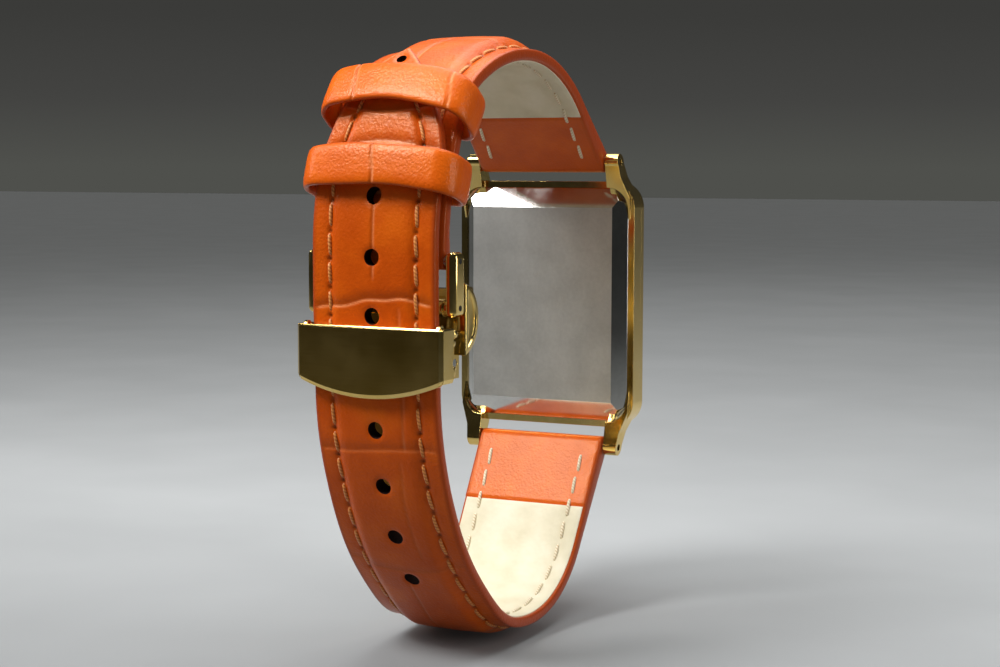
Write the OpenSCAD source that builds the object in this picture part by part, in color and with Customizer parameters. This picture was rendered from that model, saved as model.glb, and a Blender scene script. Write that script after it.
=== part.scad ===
// Hand-wound dress watch on a leather strap with a folding clasp.
// X points to 3 o'clock, Z to 12 o'clock, and Y from the dial to the wrist.
// The origin is the middle of the case back's flat.

/* [Case] */
// Width of the case across the dial
case_w = 25.4; // [24.6:0.1:28]
// Height of the case without its lugs
case_h = 32.6; // [31.6:0.1:36]
// Corner radius of the case outline
corner_r = 3.4; // [2.4:0.1:4.2]
// Height of the bevelled case back
back_rise = 1.5; // [1.4:0.05:2]
// Slope width of the back's side bevels
bevel_side = 1.7; // [1.2:0.05:2]
// Slope width of the back's end bevels
bevel_end = 2.6; // [1.8:0.05:3]
// Thickness of the middle case
middle_t = 2.5; // [2.5:0.05:3.2]
// Thickness of the bezel
bezel_t = 1.4; // [1.3:0.05:2]
// Wall of the middle case at its sides
case_wall = 1.6; // [1.4:0.05:1.7]
// Width of the rim of middle case seen round the back
back_margin = 0.85; // [0.7:0.05:1.1]
// Thickness of the crystal
crystal_t = 0.92; // [0.8:0.02:1.2]

/* [Lugs] */
// Strap width between the lugs
lug_gap = 18.3; // [17.8:0.1:18.8]
// Width of each lug along the spring bar
lug_w = 1.7; // [1.5:0.1:2.2]
// Distance of the spring bars beyond the case edge
bar_reach = 2.55; // [2.4:0.05:3]
// Depth of the spring bars below the flat of the back
bar_depth = 0.85; // [0.7:0.05:1.1]
// Radius of the spring bar's body
bar_r = 0.75; // [0.6:0.05:0.8]
// Radius of the spring bar's tips
bar_tip_r = 0.4; // [0.3:0.05:0.5]

/* [Strap] */
// Strap width at the clasp
strap_w = 16; // [15:0.1:16.4]
// Strap thickness at the lugs
lug_t = 2.7; // [2.6:0.05:3]
// Thickness of the short strap at the clasp
short_t = 2; // [1.8:0.05:2.2]
// Thickness of the long strap at its tail
tail_t = 1.55; // [1.3:0.05:1.8]
// Height of the padding along the middle of the strap
pad_t = 0.7; // [0.4:0.05:0.9]
// Distance of the padding from the strap's edge
pad_in = 2.4; // [2:0.1:3]
// Thickness of the lining
lining_t = 0.5; // [0.3:0.05:0.6]
// Diameter of the adjusting holes
hole_d = 1.9; // [1.6:0.05:2]
// Spacing of the adjusting holes
hole_pitch = 6.6; // [6:0.05:6.8]
// Number of adjusting holes
hole_count = 8; // [7:1:8]
// Width of a keeper loop along the strap
keeper_w = 4.7; // [4.4:0.1:5]
// Leather thickness of a keeper
keeper_t = 1; // [0.8:0.05:1.1]

/* [Strap path] */
// Angle at which the short strap leaves its lug
short_leave = 45; // [42:0.5:48]
// Straight run of the short strap from its lug
short_run = 9.9; // [9:0.1:11]
// Inside radius of the short strap over the wrist
crown_bend_r = 20; // [19:0.1:21]
// Inside radius of the short strap past its highest point
brow_r = 26; // [25:0.1:27]
// Inside radius where the short strap turns down
shoulder_r = 10; // [9.6:0.1:11]
// Angle turned over the shoulder
shoulder_turn = 41.5; // [40:0.5:43]
// Inside radius above the clasp
nape_r = 25; // [24:0.1:27]
// Angle turned above the clasp
nape_turn = 20; // [18:0.5:21]
// Straight run between shoulder and nape
nape_run = 5; // [4.8:0.1:6]
// Angle at which the long strap leaves its lug
long_leave = 57.6; // [56:0.2:59]
// Inside radius of the long strap under the wrist
chin_r = 14.2; // [13.4:0.1:15]
// Angle at which the chin bend ends
chin_end = 27.8; // [26:0.2:30]
// Angle that the tail covers over the shoulder
tail_turn = 37; // [34:0.5:40]

/* [Clasp] */
// Width of the cover plate
cover_w = 18.7; // [18.6:0.1:19.4]
// Height of the cover at its sides
cover_h = 6.1; // [5.8:0.1:6.6]
// Extra height at the middle of the cover
cover_bulge = 2; // [1.4:0.1:2.4]
// Thickness of the cover plate
cover_t = 1.15; // [1:0.05:1.4]
// Wall of the cover's side wings
wing_t = 0.6; // [0.5:0.05:0.7]
// Height of the frame's side bars
side_bar_h = 7; // [6.6:0.1:7.4]
// Distance between the frame's two pins
frame_pitch = 5.2; // [5:0.1:5.6]
// Depth of the frame's side bars
side_bar_d = 1.9; // [1.7:0.05:2.1]
// Thickness of the folding blades
blade_t = 0.9; // [0.7:0.05:1]
// Half width of the folding blades
blade_half = 5.4; // [4.8:0.1:5.8]
// Height at which the blades are hinged together
fold_drop = 12.85; // [12.4:0.05:13.4]
// Radius of the clasp's hinge pins
pin_r = 0.5; // [0.4:0.02:0.55]
// Height of the push buttons
button_h = 8.1; // [7.6:0.1:8.4]
// Depth of the push buttons
button_d = 3.3; // [3:0.1:3.6]
// Travel of the push buttons
button_travel = 0.6; // [0.4:0.05:0.6]

/* [Crown] */
// Radius of the crown
crown_r = 1.7; // [1.5:0.05:1.8]
// Length of the crown
crown_len = 2.3; // [2:0.05:2.8]
// Number of flutes round the crown
crown_flutes = 24; // [16:1:28]
// Travel of the crown when it is pulled to set the hands
crown_pull = 0.9; // [0.6:0.05:0.9]

/* [Dial] */
// Thickness of the dial
dial_t = 0.3; // [0.2:0.02:0.3]
// Length of the minute hand
minute_len = 10.4; // [9.5:0.1:10.8]
// Length of the hour hand
hour_len = 7; // [6.4:0.1:7.4]

/* [Movement] */
// Radius of the movement
move_r = 10.4; // [10.2:0.02:10.44]
// Module of the barrel teeth
barrel_m = 0.11; // [0.1:0.002:0.112]
// Module of the centre wheel
centre_m = 0.1; // [0.09:0.002:0.102]
// Module of the third wheel
third_m = 0.09; // [0.082:0.002:0.092]
// Module of the fourth wheel
fourth_m = 0.08; // [0.074:0.002:0.082]
// Module of the motion work
motion_m = 0.1; // [0.09:0.002:0.102]
// Module of the ratchet and crown wheels
wind_m = 0.17; // [0.16:0.002:0.172]
// Distance of the balance from the middle
balance_reach = 6.75; // [6.6:0.01:6.8]
// Radius of the balance rim
balance_r = 3.15; // [2.9:0.05:3.2]
// Tip radius of the escape wheel
escape_r = 1.9; // [1.7:0.02:1.95]

/* [Fits] */
// Running clearance of hinge pins and arbors
run_gap = 0.04; // [0.02:0.01:0.06]
// Gap between pieces of one body that only lie together
seat_gap = 0.1; // [0.05:0.01:0.12]
// Gap between the strap layers and round them
layer_gap = 0.12; // [0.08:0.01:0.15]
// Gap of pins and screws that are pressed in
press_gap = 0.02; // [0.01:0.005:0.03]

/* [Hidden] */
$fn = 48;
arc_step = 6;

gold = [0.86, 0.68, 0.33];
steel = [0.78, 0.78, 0.76];
brass = [0.80, 0.66, 0.36];
ruby = [0.75, 0.10, 0.22];
tan_leather = [0.78, 0.31, 0.06];
cream = [0.90, 0.86, 0.76];
blued = [0.12, 0.18, 0.42];

// Depths along Y, from the flat of the back towards the dial
flange_y = -back_rise;
seam_y = flange_y - middle_t;
front_y = seam_y - bezel_t;
lug_half = lug_gap / 2;
bar_z = case_h / 2 + bar_reach;
bar_y = -bar_depth;

// Cavity of the middle case
cavity_w = case_w - 2 * case_wall;
cavity_h = case_h - 2 * case_wall;
cavity_r = 2;
recess_in = 0.4;
recess_w = cavity_w - 2 * recess_in;
recess_h = cavity_h - 2 * recess_in;
ledge_in = 0.6;
glass_seat = 0.45;
gasket_t = 0.15;
glass_stand = 0.5;

// Levels of the movement
dial_y = seam_y;
plate_front = seam_y;
plate_top = plate_front + 1.2;
bridge_y = plate_top + 1.35;
bridge_top = bridge_y + 0.35;
cap_y = -0.72;
wheel_y = bridge_top + 0.03;
wheel_t = 0.2;
arbor_r = 0.13;

// Gear trains: teeth, and centres in X and Z
barrel_n = 72;
centre_pinion_n = 12;
centre_n = 64;
third_pinion_n = 8;
third_n = 60;
fourth_pinion_n = 8;
fourth_n = 70;
escape_pinion_n = 7;
escape_n = 15;
barrel_at = 75;
third_at = -60;
fourth_at = -152;
escape_at = -155;
balance_at = 200;
function polar(r, a) = [r * cos(a), r * sin(a)];
centre_c = [0, 0];
barrel_c = polar((barrel_n + centre_pinion_n) * barrel_m / 2, barrel_at);
third_c = polar((centre_n + third_pinion_n) * centre_m / 2, third_at);
fourth_c = third_c + polar((third_n + fourth_pinion_n) * third_m / 2, fourth_at);
escape_c = fourth_c + polar((fourth_n + escape_pinion_n) * fourth_m / 2, escape_at);
balance_c = polar(balance_reach, balance_at);
pallet_way = balance_c - escape_c;
pallet_at = atan2(pallet_way[1], pallet_way[0]);
pallet_reach = escape_r + 0.42;
pallet_c = escape_c + polar(pallet_reach, pallet_at);
ratchet_n = 36;
crown_wheel_n = 26;
crown_wheel_at = -24.4;
crown_wheel_c = barrel_c + polar((ratchet_n + crown_wheel_n) * wind_m / 2, crown_wheel_at);
cannon_n = 10;
minute_n = 30;
minute_pinion_n = 8;
hour_n = 32;
motion_reach = (cannon_n + minute_n) * motion_m / 2;
minute_c = [motion_reach, 0];

// Levels of each wheel, from its dial side to its back side
barrel_lo = plate_top + 0.05;
barrel_hi = barrel_lo + 0.9;
centre_lo = barrel_hi + 0.1;
third_lo = plate_top + 0.65;
fourth_lo = plate_top + 0.15;
escape_lo = plate_top + 0.5;
pallet_lo = escape_lo - 0.05;
balance_lo = plate_top + 0.95;
spring_lo = balance_lo + 0.33;
thin = 0.15;

// Stem
stem_y = seam_y + 1.4;
stem_r = 0.35;
stem_in = 4.3;
crown_x = case_w / 2 + 0.35;
tube_r = 0.62;

// Strap paths: each is a start [y, z, heading] and moves [length or radius, turn, t0, t1]
function step(p, m, f) = m[1] == 0
    ? [p[0] + m[0] * f * cos(p[2]), p[1] + m[0] * f * sin(p[2]), p[2]]
    : let(s = sign(m[1]), a = m[1] * f,
          cy = p[0] - s * m[0] * sin(p[2]), cz = p[1] + s * m[0] * cos(p[2]))
      [cy + s * m[0] * sin(p[2] + a), cz - s * m[0] * cos(p[2] + a), p[2] + a];
function pose(start, moves, k) = k == 0 ? start : step(pose(start, moves, k - 1), moves[k - 1], 1);
function count(m) = m[1] == 0 ? 1 : ceil(abs(m[1]) / arc_step);
function trail(start, moves) = [
    for (k = [0:len(moves) - 1])
        let(p = pose(start, moves, k), n = count(moves[k]))
            for (i = [0:n - (k == len(moves) - 1 ? 0 : 1)])
                concat(step(p, moves[k], i / n),
                       [moves[k][2] + (moves[k][3] - moves[k][2]) * i / n])];
// The same path with thickness added at the ends of its moves
function thicker(moves, add) = [for (k = [0:len(moves) - 1]) let(m = moves[k])
    [m[0], m[1], m[2] + add[k], m[3] + add[k + 1]]];
function move_len(m) = m[1] == 0 ? m[0] : m[0] * abs(m[1]) * PI / 180;
function total(moves, k) = k == 0 ? 0 : total(moves, k - 1) + move_len(moves[k - 1]);
function walk(start, moves, s, k = 0) =
    s <= move_len(moves[k]) || k == len(moves) - 1
        ? step(pose(start, moves, k), moves[k], s / move_len(moves[k]))
        : walk(start, moves, s - move_len(moves[k]), k + 1);
// Point at a distance out from a place on a path, with the outside on the side given
function out(p, side, d) = [p[0] - side * d * sin(p[2]), p[1] + side * d * cos(p[2])];

// Short strap, from the upper lug to the clasp, outside on the left
upper_start = concat(out([bar_y, bar_z, short_leave], -1, lug_t / 2), [short_leave]);
brow_turn = 90 - nape_turn - shoulder_turn;
mid_t = short_t + 0.15;
short_moves_down = [
    [short_run, 0, lug_t, mid_t],
    [crown_bend_r, -short_leave, mid_t, mid_t],
    [brow_r, -brow_turn, mid_t, short_t],
    [shoulder_r, -shoulder_turn, short_t, short_t],
    [nape_run, 0, short_t, short_t],
    [nape_r, -nape_turn, short_t, short_t]];
nape_end = pose(upper_start, short_moves_down, len(short_moves_down));
short_y = nape_end[0];
nape_z = nape_end[1];
short_end_run = 1.2;
short_moves = concat(short_moves_down, [[short_end_run, 0, short_t, short_t]]);
strap_bar_y = short_y + short_t / 2;
strap_bar_z = nape_z - short_end_run;
shoulder_p = pose(upper_start, short_moves_down, 3);
shoulder_c = out(shoulder_p, -1, shoulder_r);
nape_p = pose(upper_start, short_moves_down, 4);

// Long strap, from the lower lug to the tail, outside on the right
long_y = short_y + short_t + layer_gap;
lower_start = concat(out([bar_y, -bar_z, -long_leave], 1, lug_t / 2), [-long_leave]);
long_run = 14.1;
body_t = tail_t + 0.3;
cheek_r = (long_y - lower_start[0] - long_run * cos(long_leave)
    - chin_r * (sin(chin_end) + sin(long_leave))) / (1 - sin(chin_end));
long_moves_up = [
    [long_run, 0, lug_t, body_t],
    [chin_r, long_leave + chin_end, body_t, body_t],
    [cheek_r, 90 - chin_end, body_t, tail_t]];
cheek_end = pose(lower_start, long_moves_up, 3);
cheek_z = cheek_end[1];
over = short_t + layer_gap;
long_moves = concat(long_moves_up, [
    [nape_z - cheek_z, 0, tail_t, tail_t],
    [nape_r + over, nape_turn, tail_t, tail_t],
    [nape_run, 0, tail_t, tail_t],
    [shoulder_r + over, tail_turn, tail_t, tail_t]]);
cheek_c = [long_y - cheek_r, cheek_z];
long_len = total(long_moves, len(long_moves));
tail_tip = walk(lower_start, long_moves, long_len);

// Clasp, set out from the strap bar
tail_out = long_y + tail_t;
frame_y = strap_bar_y;
rivet_z = strap_bar_z - frame_pitch;
bar_x0 = strap_w / 2 + 0.15;
bar_x1 = bar_x0 + 1.3;
cover_top = rivet_z - 2.1;
cover_back = tail_out + 0.2;
cover_front = cover_back + cover_t;
flap_y = cover_back - 0.06;
flap_z = cover_top - 0.25;
wall_x0 = strap_w / 2 + 0.3;
wall_x1 = cover_w / 2 - wing_t - 0.05;
post_z = cover_top - cover_h + 0.55;
k2_r1 = cheek_r - 1.1;
k2_r0 = k2_r1 - blade_t;
k1_r1 = k2_r0 - 0.4;
k1_r0 = k1_r1 - blade_t;
fold_r = (k2_r0 + k2_r1) / 2 - 0.65;
fold_a = -asin(fold_drop / fold_r);
fold_c = [cheek_c[0] + fold_r * cos(fold_a), cheek_c[1] + fold_r * sin(fold_a)];
hinge_z = cover_top - 4.1;
hinge_c = [long_y - 1.45, hinge_z];
hinge_a = asin((hinge_z - cheek_c[1]) / k2_r1);
blade_step = 1.5;
blade_bite = 0.35;
knuckle_r = pin_r + 0.5;
block_y0 = short_y - 2.6;
block_y1 = short_y - 0.9;
block_x = 7.7;
block_z0 = cover_top - 3;
block_z1 = rivet_z + 2;
base_a = asin((block_z0 + blade_bite - cheek_c[1]) / k1_r1);
base_steps = ceil((base_a - fold_a) / blade_step);
hinge_steps = floor((hinge_a - fold_a) / blade_step - 0.1);
button_z = (block_z0 + block_z1) / 2 + 0.2;
button_y = short_y - 0.45;
button_x0 = block_x + button_travel + 0.05;
button_x1 = button_x0 + 1.15;
shank_r = 0.55;
rivet_r = 0.7;

// A solid between two depths, drawn in X and Z
module along_y(y0, y1) {
    translate([0, y1, 0]) rotate([90, 0, 0]) linear_extrude(y1 - y0) children();
}

// A solid between two widths, drawn in Y and Z
module along_x(x0, x1) {
    translate([x0, 0, 0]) rotate([90, 0, 90]) linear_extrude(x1 - x0) children();
}

module disc(c, r, y0, y1) {
    translate([c[0], y1, c[1]]) rotate([90, 0, 0]) cylinder(r = r, h = y1 - y0);
}

module rod(c, r, x0, x1) {
    translate([x0, c[0], c[1]]) rotate([0, 90, 0]) cylinder(r = r, h = x1 - x0);
}

module both_sides() {
    children();
    mirror([1, 0, 0]) children();
}

module both_ends() {
    children();
    mirror([0, 0, 1]) children();
}

module block(x0, x1, y0, y1, z0, z1) {
    translate([x0, y0, z0]) cube([x1 - x0, y1 - y0, z1 - z0]);
}

module round_rect(w, h, r) {
    square([w - 2 * r, h], center = true);
    square([w, h - 2 * r], center = true);
    for (i = [-1, 1], j = [-1, 1]) translate([i * (w / 2 - r), j * (h / 2 - r)]) circle(r);
}

module frame_rect(w, h, r, t) {
    difference() {
        round_rect(w, h, r);
        round_rect(w - 2 * t, h - 2 * t, r - t);
    }
}

module ring(c, r0, r1, y0, y1) {
    difference() {
        disc(c, r1, y0, y1);
        disc(c, r0, y0 - 1, y1 + 1);
    }
}

// Case

module case_outline(grow = 0) {
    round_rect(case_w + 2 * grow, case_h + 2 * grow, corner_r + grow);
}

lug_tip_r = 1.1;
lug_root = 5;
module lug_side() {
    difference() {
        union() {
            translate([bar_y, bar_z]) circle(lug_tip_r);
            polygon([
                [bar_y + lug_tip_r, bar_z], [flange_y, case_h / 2 - lug_root],
                [seam_y + 0.5, case_h / 2 - lug_root], [seam_y + 0.5, case_h / 2 - 0.6],
                [bar_y - lug_tip_r, bar_z - 0.2], [bar_y, bar_z]]);
        }
        translate([bar_y, bar_z]) circle(bar_tip_r + run_gap);
    }
}

module lug_plan() {
    polygon([
        [lug_half, case_h / 2 - lug_root], [case_w / 2 - 0.6, case_h / 2 - lug_root],
        [case_w / 2 - 0.45, case_h / 2 - 2.2],
        [lug_half + lug_w + 0.35, case_h / 2 + 0.6],
        [lug_half + lug_w, bar_z + lug_tip_r], [lug_half, bar_z + lug_tip_r]]);
}

module lugs() {
    both_sides() both_ends() intersection() {
        along_x(lug_half, case_w / 2) lug_side();
        along_y(seam_y - 1, 2) lug_plan();
    }
}

module case_middle() {
    color(gold) difference() {
        union() {
            along_y(seam_y, flange_y) case_outline();
            lugs();
        }
        along_y(flange_y, 1) round_rect(back_w + seat_gap, back_h + seat_gap,
            corner_r - back_margin);
        along_y(seam_y - 1, flange_y + 1) round_rect(cavity_w, cavity_h, cavity_r);
        rod([stem_y, 0], tube_r, cavity_w / 2 - 1, case_w / 2 + 1);
    }
}

bezel_chamfer = 0.5;
module bezel() {
    color(gold) difference() {
        union() {
            along_y(front_y + bezel_chamfer, seam_y) case_outline();
            along_y(front_y + bezel_chamfer / 2, seam_y) case_outline(-bezel_chamfer / 4);
            along_y(front_y, seam_y) case_outline(-bezel_chamfer);
        }
        along_y(seam_y - 0.65, seam_y + 1) round_rect(recess_w, recess_h, cavity_r);
        along_y(front_y - 1, seam_y) round_rect(recess_w - 2 * ledge_in,
            recess_h - 2 * ledge_in, cavity_r - ledge_in);
        along_y(front_y - 1, front_y + glass_seat) glass_plan(gasket_t);
    }
}

module glass_plan(grow = 0) {
    round_rect(recess_w + 2 * grow, recess_h + 2 * grow, cavity_r + grow);
}

module crystal() {
    color([0.85, 0.92, 0.95, 0.4]) {
        along_y(front_y + glass_seat - crystal_t + 0.12, front_y + glass_seat) glass_plan();
        along_y(front_y + glass_seat - crystal_t, front_y + glass_seat) glass_plan(-0.15);
    }
}

module crystal_gasket() {
    color([0.9, 0.9, 0.9]) along_y(front_y + 0.05, front_y + glass_seat) difference() {
        glass_plan(gasket_t);
        glass_plan();
    }
}

back_w = case_w - 2 * back_margin;
back_h = case_h - 2 * back_margin;
back_skin = 0.72;
flat_w = back_w - 2 * bevel_side;
flat_h = back_h - 2 * bevel_end;
corner_cut = 3.2;
module case_back() {
    color(steel) difference() {
        union() {
            intersection() {
                along_y(flange_y, 0) round_rect(back_w, back_h, corner_r - back_margin);
                translate([0, 0, -back_h / 2]) linear_extrude(back_h)
                    polygon([[-back_w / 2, flange_y], [back_w / 2, flange_y],
                             [flat_w / 2, 0], [-flat_w / 2, 0]]);
                along_x(-back_w / 2, back_w / 2)
                    polygon([[flange_y, -back_h / 2], [flange_y, back_h / 2],
                             [0, flat_h / 2], [0, -flat_h / 2]]);
                back_corner_cuts();
            }
            along_y(flange_y - 0.5, flange_y) frame_rect(cavity_w - seat_gap,
                cavity_h - seat_gap, cavity_r, 0.45);
        }
        along_y(flange_y - 0.1, -1.05) round_rect(2 * move_r + 0.9, 2 * move_r + 6, 2);
        along_y(-1.3, -back_skin) round_rect(2 * move_r - 1.4, 2 * move_r + 3, 2);
    }
}

// Keeps the flat's corners inside a slanted facet at each corner
module back_corner_cuts() {
    corner = [back_w / 2, back_h / 2] - [1, 1] * corner_r * 0.3;
    inset = corner_cut;
    difference() {
        block(-back_w, back_w, flange_y - 1, 1, -back_h, back_h);
        for (i = [-1, 1], j = [-1, 1])
            translate([i * corner[0], flange_y, j * corner[1]])
                rotate([0, -j * i * 45 + (i < 0 ? 180 : 0), 0])
                    rotate([0, 0, -atan2(back_rise, inset) * -1])
                        translate([0, 0, -10]) cube([10, 10, 20]);
    }
}

module crown_tube() {
    color(gold) difference() {
        rod([stem_y, 0], tube_r, cavity_w / 2 + 0.1, case_w / 2 + 0.3);
        rod([stem_y, 0], stem_r + run_gap, cavity_w / 2 - 1, case_w / 2 + 1);
    }
}

// Crown and winding work

module crown() {
    len_x = crown_x + crown_len;
    color(gold) difference() {
        union() {
            rod([stem_y, 0], crown_r, crown_x, len_x - 0.4);
            rod([stem_y, 0], crown_r - 0.25, crown_x, len_x);
        }
        for (i = [0:crown_flutes - 1]) let(a = i * 360 / crown_flutes)
            rod([stem_y + (crown_r + 0.05) * cos(a), (crown_r + 0.05) * sin(a)], 0.13,
                crown_x - 0.1, len_x - 0.35, $fn = 16);
        rod([stem_y, 0], stem_r, crown_x - 1, crown_x + 1.2);
        rod([stem_y, 0], tube_r + 0.12, crown_x - 1, crown_x + 0.5);
    }
}

module winding_stem() {
    color(steel) difference() {
        union() {
            rod([stem_y, 0], stem_r, 7.3, crown_x + 1.2);
            rod([stem_y, 0], stem_r - 0.1, stem_in, 7.3);
        }
        difference() {
            rod([stem_y, 0], stem_r + 1, 8.2, 8.7 + crown_pull);
            rod([stem_y, 0], stem_r - 0.14, 8, 11);
        }
    }
}

// Toothed outline with one tooth centred at a given angle
module teeth(n, m, at, rise = 0.8, dip = 1.15) {
    r = n * m / 2;
    p = 360 / n;
    polygon([for (i = [0:n - 1], q = [[-0.31, -dip], [-0.13, rise], [0.13, rise], [0.31, -dip]])
        polar(r + q[1] * m, at + (i + q[0]) * p)]);
}

module gear(c, n, m, at, y0, y1) {
    along_y(y0, y1) translate(c) teeth(n, m, at);
}

// A wheel with crossings, its teeth, and the hole for its arbor
module spoked(c, n, m, at, y0, y1, spokes, hub) {
    r = n * m / 2 - 1.15 * m;
    along_y(y0, y1) translate(c) {
        difference() {
            teeth(n, m, at);
            circle(r - 0.25);
        }
        circle(hub);
        for (i = [0:spokes - 1]) rotate(i * 360 / spokes)
            translate([0, -0.11]) square([r - 0.2, 0.22]);
    }
}

winding_x = 5.6;
module winding_pinion() {
    color(steel) difference() {
        union() {
            along_x(winding_x, winding_x + 0.9) translate([stem_y, 0])
                teeth(12, 0.17, 0);
            rod([stem_y, 0], 0.62, winding_x + 0.9, winding_x + 1.3);
        }
        rod([stem_y, 0], stem_r - 0.1 + run_gap, winding_x - 1, winding_x + 2);
    }
}

module sliding_pinion() {
    color(steel) difference() {
        union() {
            along_x(stem_in + 0.3, stem_in + 0.7) translate([stem_y, 0]) teeth(8, 0.17, 0);
            rod([stem_y, 0], 0.5, stem_in + 0.3, winding_x - 0.05);
        }
        rod([stem_y, 0], stem_r - 0.1 + run_gap, stem_in - 1, winding_x + 1);
    }
}

lever_c = [8.0, -1.9];
module setting_lever() {
    color(steel) {
        along_y(plate_front + 0.05, plate_front + 0.3) difference() {
            union() {
                translate(lever_c) circle(0.55);
                translate(lever_c) rotate(78) translate([0, -0.25]) square([1.9, 0.5]);
                translate(lever_c) rotate(200) translate([0, -0.2]) square([1.8, 0.4]);
            }
            translate(lever_c) circle(0.2 + run_gap);
        }
        // Peg that stands in the groove of the stem
        disc([lever_c[0] + 0.45, lever_c[1] + 1.45], 0.16, plate_front + 0.3, stem_y - 0.3);
    }
}

module ratchet_wheel() {
    color(steel) difference() {
        gear(barrel_c, ratchet_n, wind_m, crown_wheel_at, wheel_y, wheel_y + wheel_t);
        along_y(wheel_y - 1, wheel_y + 1) translate(barrel_c) square(0.7, center = true);
    }
}

module crown_wheel() {
    color(steel) difference() {
        union() {
            gear(crown_wheel_c, crown_wheel_n, wind_m,
                crown_wheel_at + 180 + 180 / crown_wheel_n, wheel_y, wheel_y + wheel_t);
            ring(crown_wheel_c, 1.0, 1.35, wheel_y - 0.02, wheel_y + 0.02);
        }
        disc(crown_wheel_c, 0.45 + run_gap, wheel_y - 1, wheel_y + 1);
    }
}

// The click drops between two ratchet teeth, and its spring is the thin tail
click_a = 148;
click_c = barrel_c + polar(ratchet_n * wind_m / 2 + 1.15, click_a);
module click() {
    color(steel) difference() {
        along_y(wheel_y, wheel_y + wheel_t) union() {
            translate(click_c) circle(0.45);
            translate(click_c) rotate(click_a + 152) translate([0, -0.15]) square([0.97, 0.3]);
            translate(click_c) rotate(click_a - 60) translate([0, -0.1]) square([1.3, 0.2]);
        }
        disc(click_c, 0.2 + run_gap, wheel_y - 1, wheel_y + 1);
    }
}

// Movement

module movement_ring() {
    color([0.55, 0.56, 0.58]) difference() {
        along_y(plate_front, flange_y - 0.55)
            round_rect(cavity_w - 2 * seat_gap, cavity_h - 2 * seat_gap, cavity_r);
        disc(centre_c, move_r + seat_gap / 2, plate_front - 1, 0);
        rod([stem_y, 0], tube_r + 0.1, 0, case_w);
    }
}

module pivots(y0, y1) {
    for (c = [barrel_c, third_c, fourth_c, escape_c, pallet_c, balance_c])
        disc(c, arbor_r + run_gap, y0, y1);
}

works_top = plate_front + 0.5;
module main_plate() {
    color(brass) difference() {
        disc(centre_c, move_r, plate_front, plate_top);
        pivots(plate_front + 0.3, plate_top + 1);
        disc(centre_c, arbor_r + run_gap, plate_front - 1, plate_top + 1);
        disc(centre_c, 2.2, plate_front - 1, works_top);
        disc(minute_c, 1.9, plate_front - 1, works_top);
        disc(barrel_c, 4.15, plate_top - 0.08, plate_top + 1);
        block(stem_in - 0.1, winding_x + 1.4, stem_y - 1.15, plate_top + 1, -1.2, 1.2);
        rod([stem_y, 0], stem_r + run_gap, winding_x, move_r + 1);
        block(5.6, 9.4, plate_front - 1, plate_front + 0.35, -3.2, 0.6);
        disc([lever_c[0] + 0.45, lever_c[1] + 1.45], 0.9, plate_front, stem_y);
    }
    // Post on which the minute wheel turns
    color(steel) disc(minute_c, 0.2, plate_front + 0.05, works_top);
    // Post of the setting lever
    color(steel) disc(lever_c, 0.2, plate_front + 0.05, plate_front + 0.4);
    // Feet that carry the bridges
    color(brass) for (c = bridge_feet) disc(c, foot_r, plate_top, bridge_y);
}

foot_r = 0.75;
bridge_feet = [[-3.9, 7.6], [6.9, 5.9], [9.1, -1.9], [6.6, -6.2], [1.2, -9]];
cock_foot = balance_c + polar(4.55, 118);
screw_spots = concat(bridge_feet, [cock_foot]);
screw_r = 0.32;
module bridge_plan(z0, z1) {
    intersection() {
        circle(move_r);
        translate([-move_r, z0]) square([2 * move_r, z1 - z0]);
    }
}

module screw_holes() {
    for (c = screw_spots) disc(c, screw_r + press_gap, bridge_top - 0.3, bridge_top + 1);
}

module barrel_bridge() {
    color(steel) difference() {
        along_y(bridge_y, bridge_top) difference() {
            bridge_plan(0.15, move_r);
            translate(balance_c) circle(balance_r + 0.5);
            translate(cock_foot) circle(1.5);
            translate([winding_x - 0.3, -1]) square([2, 2.4]);
        }
        disc(barrel_c, 0.6 + run_gap, bridge_y - 1, 0);
        disc(centre_c, arbor_r + run_gap, bridge_y - 1, 0);
        screw_holes();
    }
    color(steel) disc(crown_wheel_c, 0.45, bridge_top, wheel_y + wheel_t);
    color(steel) disc(click_c, 0.2, bridge_top, wheel_y + wheel_t);
}

module train_bridge() {
    color(steel) difference() {
        along_y(bridge_y, bridge_top) difference() {
            bridge_plan(-move_r, 0.05);
            translate(balance_c) circle(balance_r + 0.5);
            translate(cock_foot) circle(1.5);
            translate([winding_x - 0.3, -1.4]) square([2, 2.4]);
        }
        pivots(bridge_y - 1, 0);
        disc(centre_c, arbor_r + run_gap, bridge_y - 1, 0);
        screw_holes();
    }
    color(ruby) for (c = [third_c, fourth_c]) ring(c, arbor_r + run_gap, 0.42,
        bridge_top, bridge_top + 0.06);
}

module movement_screws() {
    color(blued) for (c = screw_spots) difference() {
        union() {
            disc(c, screw_r, bridge_top - 0.3, bridge_top);
            disc(c, 0.6, bridge_top, bridge_top + 0.2);
        }
        block(c[0] - 0.7, c[0] + 0.7, bridge_top + 0.1, bridge_top + 1, c[1] - 0.07, c[1] + 0.07);
    }
}

module barrel() {
    color(brass) difference() {
        union() {
            gear(barrel_c, barrel_n, barrel_m, barrel_at + 180, barrel_lo, barrel_lo + 0.25);
            disc(barrel_c, 3.55, barrel_lo, barrel_hi);
        }
        disc(barrel_c, 3.35, barrel_lo + 0.12, barrel_hi - 0.12);
        disc(barrel_c, 0.6 + run_gap, barrel_lo - 1, barrel_hi + 1);
    }
}

// The mainspring lies in the barrel as a few thick turns
spring_turns = 4;
module mainspring() {
    turn_step = 0.42;
    color([0.5, 0.5, 0.55]) along_y(barrel_lo + 0.2, barrel_hi - 0.2) translate(barrel_c)
        difference() {
            polygon([for (s = [0, 1], i = [0:spring_turns * 24])
                let(k = s == 0 ? i : spring_turns * 24 - i, a = k * 15)
                    polar(1.2 + turn_step * a / 360 + (s == 0 ? 0 : 0.2), a)]);
            circle(0.9);
        }
}

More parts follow.
